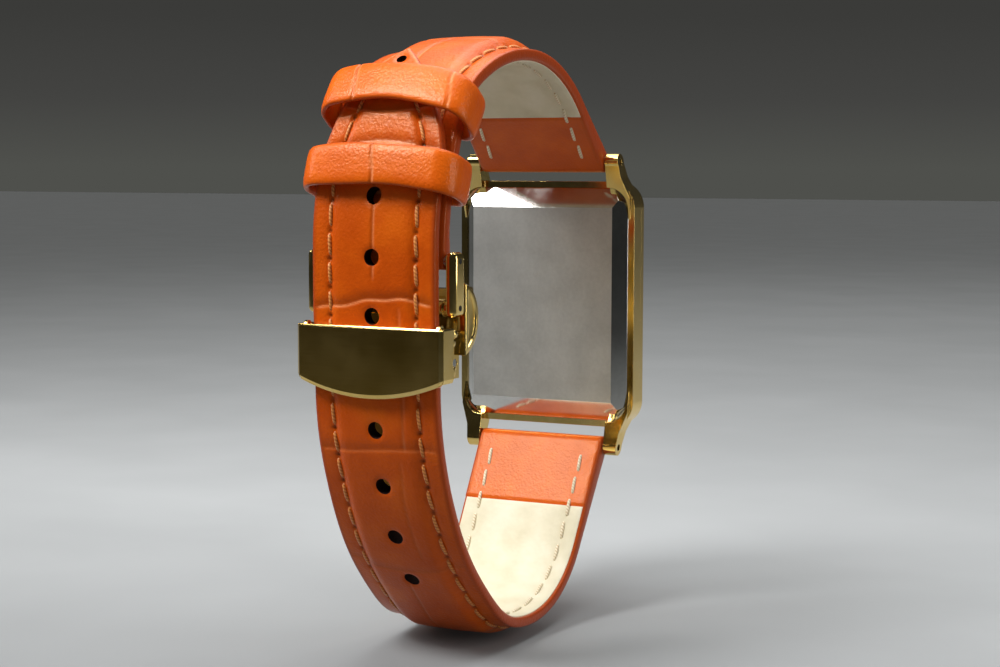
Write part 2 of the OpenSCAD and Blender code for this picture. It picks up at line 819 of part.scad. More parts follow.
module barrel_arbor() {
    color(steel) {
        disc(barrel_c, 0.9, barrel_lo + 0.15, barrel_hi - 0.15);
        disc(barrel_c, 0.6, barrel_lo, wheel_y);
        disc(barrel_c, arbor_r, plate_front + 0.35, barrel_lo);
        along_y(wheel_y, wheel_y + wheel_t) translate(barrel_c) square(0.7, center = true);
        disc(barrel_c, 0.75, wheel_y + wheel_t, wheel_y + wheel_t + 0.1);
    }
}

centre_arbor_front = seam_y - dial_t - 0.3;
module centre_wheel() {
    color(brass) spoked(centre_c, centre_n, centre_m, third_at, centre_lo, centre_lo + thin,
        5, 0.5);
    color(steel) gear(centre_c, centre_pinion_n, barrel_m,
        barrel_at + 180 / centre_pinion_n, barrel_lo, barrel_lo + 0.35);
    color(steel) disc(centre_c, 0.4, barrel_lo + 0.35, centre_lo);
    color(steel) disc(centre_c, arbor_r, centre_arbor_front, bridge_top - 0.02);
}

module third_wheel() {
    color(brass) spoked(third_c, third_n, third_m, fourth_at, third_lo, third_lo + thin, 5, 0.4);
    color(steel) gear(third_c, third_pinion_n, centre_m,
        third_at + 180 + 180 / third_pinion_n, centre_lo - 0.05, centre_lo + 0.2);
    color(steel) disc(third_c, arbor_r, plate_front + 0.35, bridge_top);
}

module fourth_wheel() {
    color(brass) spoked(fourth_c, fourth_n, fourth_m, escape_at, fourth_lo, fourth_lo + thin,
        5, 0.4);
    color(steel) gear(fourth_c, fourth_pinion_n, third_m,
        fourth_at + 180 + 180 / fourth_pinion_n, third_lo - 0.05, third_lo + 0.2);
    color(steel) disc(fourth_c, arbor_r, plate_front + 0.35, bridge_top);
}

module escape_wheel() {
    p = 360 / escape_n;
    color(steel) along_y(escape_lo, escape_lo + thin) translate(escape_c) {
        difference() {
            polygon([for (i = [0:escape_n - 1], q = [[0, 0.68], [0.3, 1], [0.42, 1], [0.5, 0.68]])
                polar(escape_r * q[1], pallet_at + (i + q[0]) * p)]);
            circle(escape_r * 0.55);
        }
        circle(0.3);
        for (i = [0:3]) rotate(i * 90) translate([0, -0.1]) square([escape_r * 0.6, 0.2]);
    }
    color(steel) gear(escape_c, escape_pinion_n, fourth_m,
        escape_at + 180 + 180 / escape_pinion_n, fourth_lo - 0.05, fourth_lo + 0.2);
    color(steel) disc(escape_c, arbor_r, plate_front + 0.35, bridge_top);
}

fork_len = norm(pallet_way) - pallet_reach - 1.05;
module pallet_fork() {
    color(steel) along_y(pallet_lo, pallet_lo + 0.2) translate(pallet_c) rotate(pallet_at) {
        circle(0.3);
        translate([0, -0.11]) square([fork_len, 0.22]);
        translate([-0.12, -1.15]) square([0.28, 2.3]);
        for (j = [-1, 1]) translate([fork_len, j * 0.24 - 0.07]) square([0.45, 0.14]);
        translate([fork_len - 0.1, -0.31]) square([0.14, 0.62]);
    }
    color(steel) disc(pallet_c, arbor_r, plate_front + 0.35, pallet_lo + 0.3);
    // Pallet stones, just clear of the escape teeth
    color(ruby) along_y(pallet_lo + 0.02, pallet_lo + 0.18) translate(pallet_c)
        rotate(pallet_at) for (j = [-1, 1])
            translate([-0.42, j * 0.98 - 0.12]) square([0.35, 0.24]);
}

module pallet_bridge() {
    y0 = pallet_lo + 0.26;
    foot_reach = 1.25;
    feet = [for (j = [-1, 1]) pallet_c + polar(foot_reach, pallet_at + j * 62)];
    color(steel) difference() {
        union() {
            along_y(y0, y0 + 0.12) for (j = [-1, 1]) translate(pallet_c)
                rotate(pallet_at + j * 62) {
                    circle(0.42);
                    translate([0, -0.42]) square([foot_reach, 0.84]);
                    translate([foot_reach, 0]) circle(0.42);
                }
            for (c = feet) disc(c, 0.36, plate_top, y0);
        }
        disc(pallet_c, arbor_r + run_gap, y0 - 1, y0 + 1);
    }
}

rim_t = 0.42;
module balance_wheel() {
    color(brass) {
        ring(balance_c, balance_r - rim_t, balance_r, balance_lo, balance_lo + 0.3);
        along_y(balance_lo + 0.05, balance_lo + 0.25) translate(balance_c)
            for (i = [0:2]) rotate(i * 120 + 20) translate([0, -0.16])
                square([balance_r - rim_t / 2, 0.32]);
    }
    color(steel) {
        disc(balance_c, 0.26, pallet_lo + 0.3, spring_lo + 0.08);
        disc(balance_c, arbor_r, plate_front + 0.35, bridge_top - 0.1);
        disc(balance_c, 0.6, balance_lo - 0.2, balance_lo - 0.1);
    }
    // Impulse jewel that stands between the horns of the fork
    color(ruby) disc(balance_c + polar(0.45, pallet_at + 180), 0.09, pallet_lo, balance_lo - 0.1);
}

module hairspring() {
    turns = 5;
    coil_step = 0.28;
    color(blued) along_y(spring_lo, spring_lo + 0.1) translate(balance_c)
        polygon([for (s = [0, 1], i = [0:turns * 20])
            let(k = s == 0 ? i : turns * 20 - i, a = k * 18)
                polar(0.42 + coil_step * a / 360 + (s == 0 ? 0 : 0.09), a)]);
}

module balance_cock() {
    way = cock_foot - balance_c;
    color(steel) {
        difference() {
            union() {
                along_y(bridge_y + 0.05, bridge_top) union() {
                    translate(balance_c) circle(0.9);
                    translate(balance_c) rotate(atan2(way[1], way[0]))
                        translate([0, -0.7]) square([norm(way), 1.4]);
                    translate(cock_foot) circle(1.1);
                }
                disc(cock_foot, 1.05, plate_top, bridge_y + 0.05);
            }
            disc(balance_c, arbor_r + run_gap, bridge_y - 1, 0);
            screw_holes();
        }
    }
    color(ruby) ring(balance_c, arbor_r + run_gap, 0.36, bridge_top, bridge_top + 0.08);
}

// Motion work and hands

cannon_r = 0.31;
hour_pipe_r = 0.56;
hour_y = seam_y - dial_t - 0.26;
minute_y = hour_y - 0.2;
hand_t = 0.09;
module cannon_pinion() {
    color(steel) difference() {
        union() {
            gear(centre_c, cannon_n, motion_m, 0, works_top - 0.24, works_top - 0.06);
            disc(centre_c, cannon_r, minute_y - 0.02, works_top - 0.06);
        }
        disc(centre_c, arbor_r, minute_y - 1, works_top + 1);
    }
}

module minute_wheel() {
    color(brass) difference() {
        union() {
            gear(minute_c, minute_n, motion_m, 180 + 180 / minute_n,
                works_top - 0.22, works_top - 0.06);
            gear(minute_c, minute_pinion_n, motion_m, 180, works_top - 0.42, works_top - 0.22);
        }
        disc(minute_c, 0.2 + run_gap, plate_front - 1, works_top + 1);
    }
}

module hour_wheel() {
    color(brass) difference() {
        union() {
            gear(centre_c, hour_n, motion_m, 180 / hour_n, works_top - 0.42, works_top - 0.27);
            disc(centre_c, hour_pipe_r, hour_y, works_top - 0.27);
        }
        disc(centre_c, cannon_r + run_gap, hour_y - 1, works_top + 1);
    }
}

module hand(y, length, wide, hub, bore) {
    along_y(y, y + hand_t) difference() {
        union() {
            circle(hub);
            polygon([[-wide / 2, 0], [-wide / 2.6, length * 0.25], [-wide / 2, length * 0.5],
                     [0, length], [wide / 2, length * 0.5], [wide / 2.6, length * 0.25],
                     [wide / 2, 0], [wide / 3, -length * 0.14], [-wide / 3, -length * 0.14]]);
        }
        circle(bore);
    }
}

// The hands rest at ten past ten
hour_at = 305;
minute_at = 60;
module hour_hand() {
    color(blued) rotate([0, hour_at, 0]) hand(hour_y, hour_len, 0.95, 0.8, hour_pipe_r);
}

module minute_hand() {
    color(blued) rotate([0, minute_at, 0]) hand(minute_y, minute_len, 0.75, 0.6, cannon_r);
}

dial_w = recess_w - seat_gap;
dial_h = recess_h - seat_gap;
module dial() {
    color([0.95, 0.94, 0.9]) difference() {
        along_y(seam_y - dial_t, seam_y) round_rect(dial_w, dial_h, cavity_r - seat_gap);
        disc(centre_c, hour_pipe_r + 0.1, seam_y - 1, seam_y + 1);
    }
}

// Plain batons on the hours, and a minute track of two thin frames
track_in = 5.2;
module dial_markers() {
    y0 = seam_y - dial_t;
    bx = dial_w / 2 - 2.2;
    bz = dial_h / 2 - 2.4;
    color([0.1, 0.1, 0.12]) {
        for (h = [0:11]) let(
            a = 90 - 30 * h,
            k = min(bx / max(abs(cos(a)), 0.001), bz / max(abs(sin(a)), 0.001)))
            along_y(y0 - 0.06, y0) rotate(a)
                translate([k - (h % 3 == 0 ? 2.4 : 1.8), -0.16]) square([h % 3 == 0 ? 2.4 : 1.8, 0.32]);
        along_y(y0 - 0.03, y0) frame_rect(dial_w - track_in, dial_h - track_in, 1.2, 0.12);
        along_y(y0 - 0.03, y0) frame_rect(dial_w - track_in - 1.4, dial_h - track_in - 1.4,
            0.9, 0.12);
    }
}

// Spring bars

module spring_bar(z) {
    color(steel) {
        rod([bar_y, z], bar_r, -lug_half + 0.1, lug_half - 0.1);
        rod([bar_y, z], bar_tip_r, -lug_half - 1, lug_half + 1);
    }
}

module spring_bar_upper() { spring_bar(bar_z); }
module spring_bar_lower() { spring_bar(-bar_z); }

// Straps

// Section of a strap between two offsets from its wrist side
function bounded(d, t) = d < 0 ? t : d;
module band(path, side, lo, hi) {
    polygon(concat(
        [for (p = path) out(p, side, lo)],
        [for (i = [len(path) - 1:-1:0]) let(p = path[i]) out(p, side, bounded(hi, p[3]))]));
}

// Plan that tapers the strap from the lugs to the clasp
strap_lug_w = lug_gap - 0.3;
module taper(inset = 0) {
    half_lug = strap_lug_w / 2 - inset;
    half_end = strap_w / 2 - inset;
    reach = tail_out + 2;
    translate([0, 0, -60]) linear_extrude(120)
        polygon([[-half_lug, -4], [half_lug, -4], [half_lug, 1], [half_end, short_y],
                 [half_end, reach], [-half_end, reach], [-half_end, short_y], [-half_lug, 1]]);
}

eye_r = lug_t / 2;
short_pad = thicker([for (k = [0:2]) short_moves[k]], [0.1, pad_t, pad_t, 0]);
long_pad = thicker([for (k = [0:2]) long_moves[k]], [0.1, pad_t, pad_t, 0]);

module strap_band(start, moves, side, z, lo, hi, eye) {
    if (eye) difference() {
        intersection() {
            along_x(-lug_half, lug_half)
                band(trail(start, side > 0 ? short_pad : long_pad), side, lo, hi);
            taper(pad_in);
        }
        rod([bar_y, z], bar_r + run_gap, -lug_half - 1, lug_half + 1);
    }
    difference() {
        intersection() {
            along_x(-lug_half, lug_half) union() {
                band(trail(start, moves), side, lo, hi);
                if (eye) translate([bar_y, z]) circle(eye_r);
            }
            taper();
        }
        rod([bar_y, z], bar_r + run_gap, -lug_half - 1, lug_half + 1);
        if (!eye) rod([bar_y, z], eye_r + 0.01, -lug_half - 1, lug_half + 1);
    }
}

strap_eye_r = short_t / 2;
module strap_short() {
    color(tan_leather) difference() {
        union() {
            strap_band(upper_start, short_moves, 1, bar_z, lining_t, -1, true);
            rod([strap_bar_y, strap_bar_z], strap_eye_r, -strap_w / 2, strap_w / 2);
        }
        rod([strap_bar_y, strap_bar_z], bar_r - 0.1 + run_gap, -strap_w, strap_w);
    }
}

module lining_short() {
    color(cream) difference() {
        strap_band(upper_start, short_moves, 1, bar_z, 0, lining_t - press_gap, false);
        rod([strap_bar_y, strap_bar_z], strap_eye_r, -strap_w, strap_w);
    }
}

// Places of the adjusting holes along the long strap
vertical_s = total(long_moves, 3);
post_s = vertical_s + post_z - cheek_z;
post_index = 4;
module hole_rods(r) {
    for (i = [0:hole_count - 1])
        let(p = walk(lower_start, long_moves, post_s + (post_index - 1 - i) * hole_pitch))
            translate([0, p[0], p[1]]) rotate([p[2] - 90, 0, 0]) rotate([-90, 0, 0])
                translate([0, 0, -2]) cylinder(r = r, h = 6);
}

tip_hole_s = long_len - 3.3;
tip_len = 11;
module tip_cut() {
    z1 = tail_tip[1] + 1.2;
    z0 = z1 - tip_len;
    w0 = strap_w / 2 + 0.1;
    both_sides() along_y(shoulder_c[0] - 1, tail_out + 3) polygon([
        [w0, z0], [w0 - 0.9, z0 + tip_len * 0.35], [w0 - 2.6, z0 + tip_len * 0.65],
        [w0 - 5, z0 + tip_len * 0.86], [1, z1 - 0.4], [0, z1], [0, z1 + 6], [w0 + 2, z1 + 6],
        [w0 + 2, z0]]);
}

module strap_long() {
    tip = walk(lower_start, long_moves, tip_hole_s);
    color(tan_leather) difference() {
        strap_band(lower_start, long_moves, -1, -bar_z, lining_t, -1, true);
        hole_rods(hole_d / 2);
        translate([0, tip[0], tip[1]]) rotate([tip[2] - 180, 0, 0])
            translate([0, 0, -4]) cylinder(r = hole_d / 2, h = 8);
        tip_cut();
    }
}

module lining_long() {
    tip = walk(lower_start, long_moves, tip_hole_s);
    color(cream) difference() {
        strap_band(lower_start, long_moves, -1, -bar_z, 0, lining_t - press_gap, false);
        hole_rods(hole_d / 2);
        translate([0, tip[0], tip[1]]) rotate([tip[2] - 180, 0, 0])
            translate([0, 0, -4]) cylinder(r = hole_d / 2, h = 8);
        tip_cut();
    }
}

keeper_air = 0.12;
keeper_sag = shoulder_r - sqrt(pow(shoulder_r, 2) - pow(keeper_w / 2, 2));
keeper_in = -keeper_sag - keeper_air;
keeper_out = short_t + layer_gap + tail_t + keeper_air;
keeper_x = strap_w / 2 + 0.3;
keeper_round = 0.4;

// A loop's section, in X across and Y out from the wrist side
module keeper_box(half, y0, y1, r, w) {
    translate([0, 0, -w]) linear_extrude(2 * w) translate([0, (y0 + y1) / 2])
        round_rect(2 * half, y1 - y0, r);
}

// A loop round both straps, with its wrist side at a point and its outside along an angle
module keeper(c, a) {
    color(tan_leather) translate([0, c[0], c[1]]) rotate([a, 0, 0]) difference() {
        keeper_box(keeper_x + keeper_t, keeper_in - keeper_t, keeper_out + keeper_t,
            keeper_round + keeper_t + 0.6, keeper_w / 2);
        keeper_box(keeper_x, keeper_in, keeper_out, keeper_round, keeper_w);
    }
}

fixed_s = total(short_moves, 5) + 0.7;
module keeper_fixed() {
    mid = walk(upper_start, short_moves, fixed_s);
    keeper(mid, mid[2] + 90);
}

slide_at = 38;
module keeper_sliding() {
    keeper(shoulder_c + polar(shoulder_r, slide_at), slide_at);
}

// Clasp

module strap_bar() {
    color(steel) {
        rod([frame_y, strap_bar_z], bar_r - 0.1, -bar_x0 + 0.05, bar_x0 - 0.05);
        rod([frame_y, strap_bar_z], bar_tip_r, -bar_x1 + 0.05, bar_x1 - 0.05);
    }
}

module clasp_frame() {
    top = strap_bar_z + (side_bar_h - frame_pitch) / 2;
    bottom = rivet_z - (side_bar_h - frame_pitch) / 2;
    color(gold) {
        difference() {
            both_sides() along_x(bar_x0, bar_x1) {
                translate([frame_y - side_bar_d / 2, bottom + 0.7])
                    square([side_bar_d, top - bottom - 1.4]);
                for (z = [bottom + 0.7, top - 0.7], j = [-1, 1])
                    translate([frame_y + j * (side_bar_d / 2 - 0.7), z]) circle(0.7);
                translate([frame_y - side_bar_d / 2 + 0.7, bottom])
                    square([side_bar_d - 1.4, top - bottom]);
            }
            rod([frame_y, strap_bar_z], bar_tip_r + run_gap, -cover_w, cover_w);
        }
        rod([frame_y, rivet_z], rivet_r, -bar_x0, bar_x0);
    }
}

// A curved blade between two radii, at steps counted from the folding pin
function steps(n0, n1) = [for (k = [n0:n1]) k];
module blade(r0, r1, ks, x0, x1) {
    along_x(x0, x1) translate(cheek_c) polygon(concat(
        [for (k = ks) polar(r0, fold_a + k * blade_step)],
        [for (i = [len(ks) - 1:-1:0]) polar(r1, fold_a + ks[i] * blade_step)]));
}

knuckle_x = 2.8;
module clasp_base() {
    color(gold) difference() {
        union() {
            block(-block_x, block_x, block_y0, block_y1, block_z0, block_z1);
            block(-block_x, block_x, block_y1 - 0.1, frame_y, rivet_z - 0.9, rivet_z + 0.9);
            rod([frame_y, rivet_z], 1.0, -block_x, block_x);
            blade(k1_r0, k1_r1, steps(1, base_steps), -blade_half, blade_half);
            both_sides() rod(fold_c, knuckle_r + 0.1, knuckle_x, blade_half - 0.1);
            both_sides() blade(k1_r0, fold_r, [-0.5, 0, 1, 2], knuckle_x, blade_half - 0.1);
        }
        rod([frame_y, rivet_z], rivet_r + run_gap, -cover_w, cover_w);
        rod(fold_c, pin_r + press_gap, -blade_half - 1, blade_half + 1);
        // Way for the blade's knuckle between the two outer knuckles
        rod(fold_c, knuckle_r + 0.35, -knuckle_x, knuckle_x);
        both_sides() rod([button_axis_y, button_z], shank_r + 0.05, 3.4, block_x + 1);
    }
}

module clasp_fold_blade() {
    color(gold) difference() {
        union() {
            blade(k2_r0, k2_r1, steps(2, hinge_steps), -blade_half, blade_half);
            blade(fold_r, k2_r1, [-0.5, 0, 1, 2, 3], 0.1 - knuckle_x, knuckle_x - 0.1);
            rod(fold_c, knuckle_r + 0.1, 0.1 - knuckle_x, knuckle_x - 0.1);
            rod(hinge_c, knuckle_r, -wall_x0 + 0.1, wall_x0 - 0.1);
        }
        rod(fold_c, pin_r + run_gap, -blade_half, blade_half);
        rod(hinge_c, pin_r + run_gap, -cover_w, cover_w);
    }
}

module fold_pin() { color(steel) rod(fold_c, pin_r, -blade_half + 0.05, blade_half - 0.05); }
module buckle_pin() { color(steel) rod(hinge_c, pin_r, -wall_x1 + 0.05, wall_x1 - 0.05); }

plate_y0 = long_y - 0.6;
plate_y1 = long_y - 0.15;
wall_bottom = cover_top - cover_h + 0.3;
module clasp_buckle() {
    color(gold) difference() {
        union() {
            both_sides() along_x(wall_x0, wall_x1) {
                translate([hinge_c[0] - knuckle_r, wall_bottom])
                    square([cover_back - 0.1 - hinge_c[0] + knuckle_r, cover_h - 0.9]);
                translate([flap_y, flap_z]) circle(0.6);
                translate([flap_y - 1.6, flap_z - 0.7]) square([1.6, 0.9]);
            }
            block(-wall_x0, wall_x0, plate_y0, plate_y1, hinge_z + 1.5, cover_top - 0.7);
            block(-wall_x0, wall_x0, plate_y0, plate_y1, wall_bottom, hinge_z - 1.25);
            // Post through the strap
            disc([0, post_z], hole_d / 2 - 0.2, plate_y1 - 0.1, cover_back - 0.15);
        }
        rod(hinge_c, pin_r + press_gap, -cover_w, cover_w);
        rod([flap_y, flap_z], 0.25 + run_gap, -cover_w, cover_w);
    }
}

module cover_plan() {
    r = (pow(cover_w / 2, 2) + pow(cover_bulge, 2)) / (2 * cover_bulge);
    intersection() {
        translate([-cover_w / 2, cover_top - cover_h - cover_bulge])
            square([cover_w, cover_h + cover_bulge]);
        translate([0, cover_top - cover_h - cover_bulge + r]) circle(r, $fn = 180);
    }
}

wing_y = hinge_c[0] + 1.5;
module cover_section() {
    r = 0.9;
    difference() {
        union() {
            translate([-cover_w / 2 + r, cover_back]) square([cover_w - 2 * r, cover_t]);
            translate([-cover_w / 2, wing_y]) square([cover_w, cover_front - r - wing_y]);
            for (j = [-1, 1]) translate([j * (cover_w / 2 - r), cover_front - r]) circle(r);
        }
        translate([-cover_w / 2 + wing_t, wing_y - 1])
            square([cover_w - 2 * wing_t, cover_back - wing_y + 1]);
    }
}

module clasp_cover() {
    color(gold) {
        difference() {
            intersection() {
                translate([0, 0, cover_top - 20]) linear_extrude(20) cover_section();
                along_y(wing_y - 1, cover_front + 1) cover_plan();
            }
            // Lets the top edge turn clear of the strap
            rod([flap_y, flap_z], 0.32, -wall_x0, wall_x0);
            // Room for the buckle's ears
            both_sides() rod([flap_y, flap_z], 0.72, wall_x0 - 0.1, cover_w / 2 - wing_t);
            // Notch at the foot of each wing
            both_sides() block(cover_w / 2 - wing_t - 0.1, cover_w, wing_y - 1, wing_y + 1,
                cover_top - cover_h - 3, cover_top - cover_h + 1.6);
        }
        both_sides() rod([flap_y, flap_z], 0.25, wall_x0 + 0.05, cover_w / 2 - wing_t + 0.1);
    }
}

button_axis_y = (block_y0 + block_y1) / 2;
module push_button() {
    color(gold) {
        intersection() {
            along_x(button_x0, button_x1) intersection() {
                translate([button_y - button_d, button_z - button_h / 2])
                    square([button_d, button_h]);
                translate([button_y - button_d + button_arc, button_z])
                    circle(button_arc, $fn = 120);
            }
            block(0, button_x1, button_y - button_d, button_y, -20, 20);
        }
        rod([button_axis_y, button_z], shank_r, 5.1, button_x0);
    }
}

button_arc = (pow(button_h / 2, 2) + pow(button_d, 2)) / (2 * button_d);
module push_button_left() { push_button(); }
module push_button_right() { mirror([1, 0, 0]) push_button(); }

module button_springs() {
    color(steel) both_sides() difference() {
        rod([button_axis_y, button_z], shank_r - 0.1, 3.4, 5.1 - button_travel - 0.05);
        rod([button_axis_y, button_z], shank_r - 0.35, 3, 6);
    }
}

case_middle();
bezel();
crystal();
crystal_gasket();
case_back();
crown_tube();
spring_bar_upper();
spring_bar_lower();
dial();
dial_markers();
hour_hand();
minute_hand();
movement_ring();
main_plate();
barrel();
mainspring();
barrel_arbor();
ratchet_wheel();
crown_wheel();
click();
barrel_bridge();
train_bridge();
centre_wheel();
third_wheel();
fourth_wheel();
escape_wheel();
pallet_fork();
pallet_bridge();
balance_wheel();
hairspring();
balance_cock();
cannon_pinion();
minute_wheel();
hour_wheel();
crown();
winding_stem();
winding_pinion();
sliding_pinion();
setting_lever();
movement_screws();
strap_short();
strap_long();
lining_short();
lining_long();
keeper_fixed();
keeper_sliding();
clasp_frame();
clasp_base();
clasp_fold_blade();
clasp_buckle();
clasp_cover();
push_button_left();
push_button_right();
button_springs();
strap_bar();
fold_pin();
buckle_pin();
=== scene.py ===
# %% [markdown]
# # A hand-wound watch on an embossed leather strap
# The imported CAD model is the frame: it says where every piece sits and what it moves with.
# Here the leather, its stitches and the clasp's outer pieces are built as surfaces, and every
# other piece gets the finish that it has on a real watch. All lengths below are in
# millimetres, and each piece is turned into metres as it is made.

# %% Load the frame
import bmesh
import bpy
import numpy as np
from mathutils import Matrix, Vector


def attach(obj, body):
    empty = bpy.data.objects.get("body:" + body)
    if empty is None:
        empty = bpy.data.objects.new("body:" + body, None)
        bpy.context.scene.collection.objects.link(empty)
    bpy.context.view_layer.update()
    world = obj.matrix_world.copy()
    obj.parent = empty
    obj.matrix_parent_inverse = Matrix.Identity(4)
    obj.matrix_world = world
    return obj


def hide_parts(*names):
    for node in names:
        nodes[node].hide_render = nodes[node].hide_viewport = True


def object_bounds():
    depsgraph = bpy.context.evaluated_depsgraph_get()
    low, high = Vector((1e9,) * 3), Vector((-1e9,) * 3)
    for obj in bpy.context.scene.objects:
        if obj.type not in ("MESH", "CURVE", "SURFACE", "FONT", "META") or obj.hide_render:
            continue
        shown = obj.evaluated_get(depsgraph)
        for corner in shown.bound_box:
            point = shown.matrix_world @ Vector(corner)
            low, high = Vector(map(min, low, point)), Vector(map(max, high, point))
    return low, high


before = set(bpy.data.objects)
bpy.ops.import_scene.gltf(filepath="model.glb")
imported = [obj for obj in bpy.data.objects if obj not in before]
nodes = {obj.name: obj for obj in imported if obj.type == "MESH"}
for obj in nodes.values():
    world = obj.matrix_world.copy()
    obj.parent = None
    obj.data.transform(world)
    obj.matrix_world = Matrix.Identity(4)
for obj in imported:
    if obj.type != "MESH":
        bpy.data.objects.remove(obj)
cad_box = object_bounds()

# %% [markdown]
# ## The camera
# The photograph was taken with a long lens from behind and a little above. A camera is a
# point and three directions. Turning it by two angles round a target is easier to read than
# a list of Euler angles, so the directions are worked out here and put into a matrix.

# %% Camera at the photograph's angle
MM = 0.001
IMAGE_W, SENSOR_W = 1000, 36
# Angles in radians: round the watch from straight behind, upwards, and the camera's own tilt
swing, lift, roll = 0.450198, 0.0909479, 0.002146
target = np.array([0.0, 12.6406, -3.0218])
distance, focal_px = 234.375, 1832.966
back = np.array([-np.sin(swing) * np.cos(lift), np.cos(swing) * np.cos(lift), np.sin(lift)])
right = np.array([-np.cos(swing), -np.sin(swing), 0.0])
up = np.cross(back, right)
right, up = (np.cos(roll) * right + np.sin(roll) * up,
             np.cos(roll) * up - np.sin(roll) * right)
lens_data = bpy.data.cameras.new("view")
lens_data.sensor_width = SENSOR_W
lens_data.lens = focal_px * SENSOR_W / IMAGE_W
lens_data.clip_start, lens_data.clip_end = 0.01, 20
camera = bpy.data.objects.new("camera", lens_data)
placed = np.eye(4)
placed[:3, 0], placed[:3, 1], placed[:3, 2] = right, up, back
placed[:3, 3] = (target + distance * back) * MM
camera.matrix_world = Matrix(placed.tolist())
bpy.context.scene.collection.objects.link(camera)
bpy.context.scene.camera = camera
bpy.context.scene.view_settings.view_transform = "Standard"
print("lens", round(lens_data.lens, 2), "mm")

# %% [markdown]
# ## Nodes in few words
# A material is a small graph. One function adds a node, sets its properties, and feeds its
# sockets with numbers or with the outputs of other nodes. Another turns the hex colours of a
# colour chart into the linear values that a renderer adds up.

# %% Helpers for materials
def linear(code):
    """A hex sRGB colour as linear RGBA: each channel is undone from its display curve."""
    c = np.array([int(code[i:i + 2], 16) for i in (1, 3, 5)]) / 255
    c = np.where(c <= 0.04045, c / 12.92, ((c + 0.055) / 1.055) ** 2.4)
    return (*c.tolist(), 1.0)


def add(tree, kind, feeds=(), out=0, stops=(), **settings):
    """Adds a node and returns one output. Feeds are its inputs, as values or as outputs of
    other nodes, settings its properties, and stops a ramp's (place, colour) pairs."""
    made = tree.nodes.new("ShaderNode" + kind)
    for name, value in settings.items():
        setattr(made, name, value)
    for socket, value in dict(feeds).items():
        if isinstance(value, bpy.types.NodeSocket):
            tree.links.new(value, made.inputs[socket])
        else:
            made.inputs[socket].default_value = value
    for _ in stops[2:]:
        made.color_ramp.elements.new(0.5)
    for n, (place, code) in enumerate(stops):
        made.color_ramp.elements[n].position = place
        made.color_ramp.elements[n].color = linear(code)
    return made.outputs[out]


def new_finish(name, **constants):
    """A material with its shader's constant sockets set: returns it, its tree and shader."""
    made = bpy.data.materials.new(name)
    made.use_nodes = True
    shader = made.node_tree.nodes["Principled BSDF"]
    for socket, value in constants.items():
        shader.inputs[socket.replace("_", " ")].default_value = value
    return made, made.node_tree, shader


def wire(tree, shader, feeds):
    """Links outputs to the shader's sockets by their names."""
    for socket, value in feeds.items():
        tree.links.new(value, shader.inputs[socket])


def in_mm(tree, stretch=(1, 1, 1)):
    """Object coordinates counted in millimetres, so that a pattern's scale is a real size."""
    return add(tree, "Mapping", {"Vector": add(tree, "TexCoord", out="Object"),
                                 "Scale": [s / MM for s in stretch]})


# A Mix node's colour sockets share their names with its number sockets, so they go by number
COLOUR_A, COLOUR_B = 6, 7
AS_COLOUR = {"out": 2, "data_type": "RGBA"}
print("orange-tan in linear light:", [round(c, 3) for c in linear("#CC5105")])

# %% [markdown]
# ## The room
# A watch is photographed in soft light from large diffusers. One softbox hangs overhead, the
# key stands high in front of the strap, a weak one fills from the left, a tall strip draws an
# edge on the right, and the last lights only the floor far behind. The world lights everything
# with grey, a little more on the dial's side, which the lamps hardly reach. What the camera,
# metal and glass see of it is the dim end of the studio, because polished metal only looks
# like metal when it has something dark to mirror next to something bright.

# %% Lamps
def area_lamp(name, place, aim, size, power):
    """A rectangular softbox at a place in mm, pointing at aim."""
    data = bpy.data.lights.new(name, "AREA")
    data.shape, data.size, data.size_y = "RECTANGLE", size[0] * MM, size[1] * MM
    data.energy = power
    lamp = bpy.data.objects.new(name, data)
    z = np.array(place, float) - np.array(aim, float)
    z /= np.linalg.norm(z)
    x = np.cross([0, 0, 1.0], z)
    x /= np.linalg.norm(x)
    m = np.eye(4)
    m[:3, 0], m[:3, 1], m[:3, 2], m[:3, 3] = x, np.cross(z, x), z, np.array(place) * MM
    lamp.matrix_world = Matrix(m.tolist())
    bpy.context.scene.collection.objects.link(lamp)
    print(name, power, "W")


LAMPS = [("overhead_softbox", (0, 0, 235), (0, 10, 0), (200, 200), 0.55),
         ("key_softbox", (108, 170, 228), (0, 35, 20), (110, 110), 0.88),
         ("left_softbox", (290, 120, 200), (0, 25, 0), (140, 160), 0.30),
         ("right_strip", (-330, 40, 80), (0, 20, 0), (60, 240), 0.32),
         ("background_softbox", (60, -350, 400), (60, -340, 0), (400, 300), 0.60)]
for name, place, aim, size, power in LAMPS:
    area_lamp(name, place, aim, size, power)

# %% World
world = bpy.data.worlds.new("studio")
bpy.context.scene.world = world
world.use_nodes = True
tree = world.node_tree
towards = tree.nodes.new("ShaderNodeSeparateXYZ")
tree.links.new(add(tree, "TexCoord", out="Generated"), towards.inputs["Vector"])
# What the camera, metal and glass see: grey by height, and darker on the camera's side
back_end = add(tree, "ValToRGB", {"Fac": towards.outputs["Z"]}, out="Color",
               stops=[(0.0, "#4F504C"), (0.036, "#434341"), (0.08, "#3B3B39"),
                      (0.5, "#30312E")])
in_front = add(tree, "MapRange", {"Value": towards.outputs["Y"], "From Min": 0.0,
                                  "From Max": 0.6})
dim_end = add(tree, "Mix", {"Factor": in_front, COLOUR_A: back_end,
                            COLOUR_B: linear("#2B2B29")}, **AS_COLOUR)
ray = tree.nodes.new("ShaderNodeLightPath")
seen = ray.outputs["Is Camera Ray"]
for kind in ("Is Glossy Ray", "Is Transmission Ray"):
    seen = add(tree, "Math", {0: seen, 1: ray.outputs[kind]}, operation="MAXIMUM")
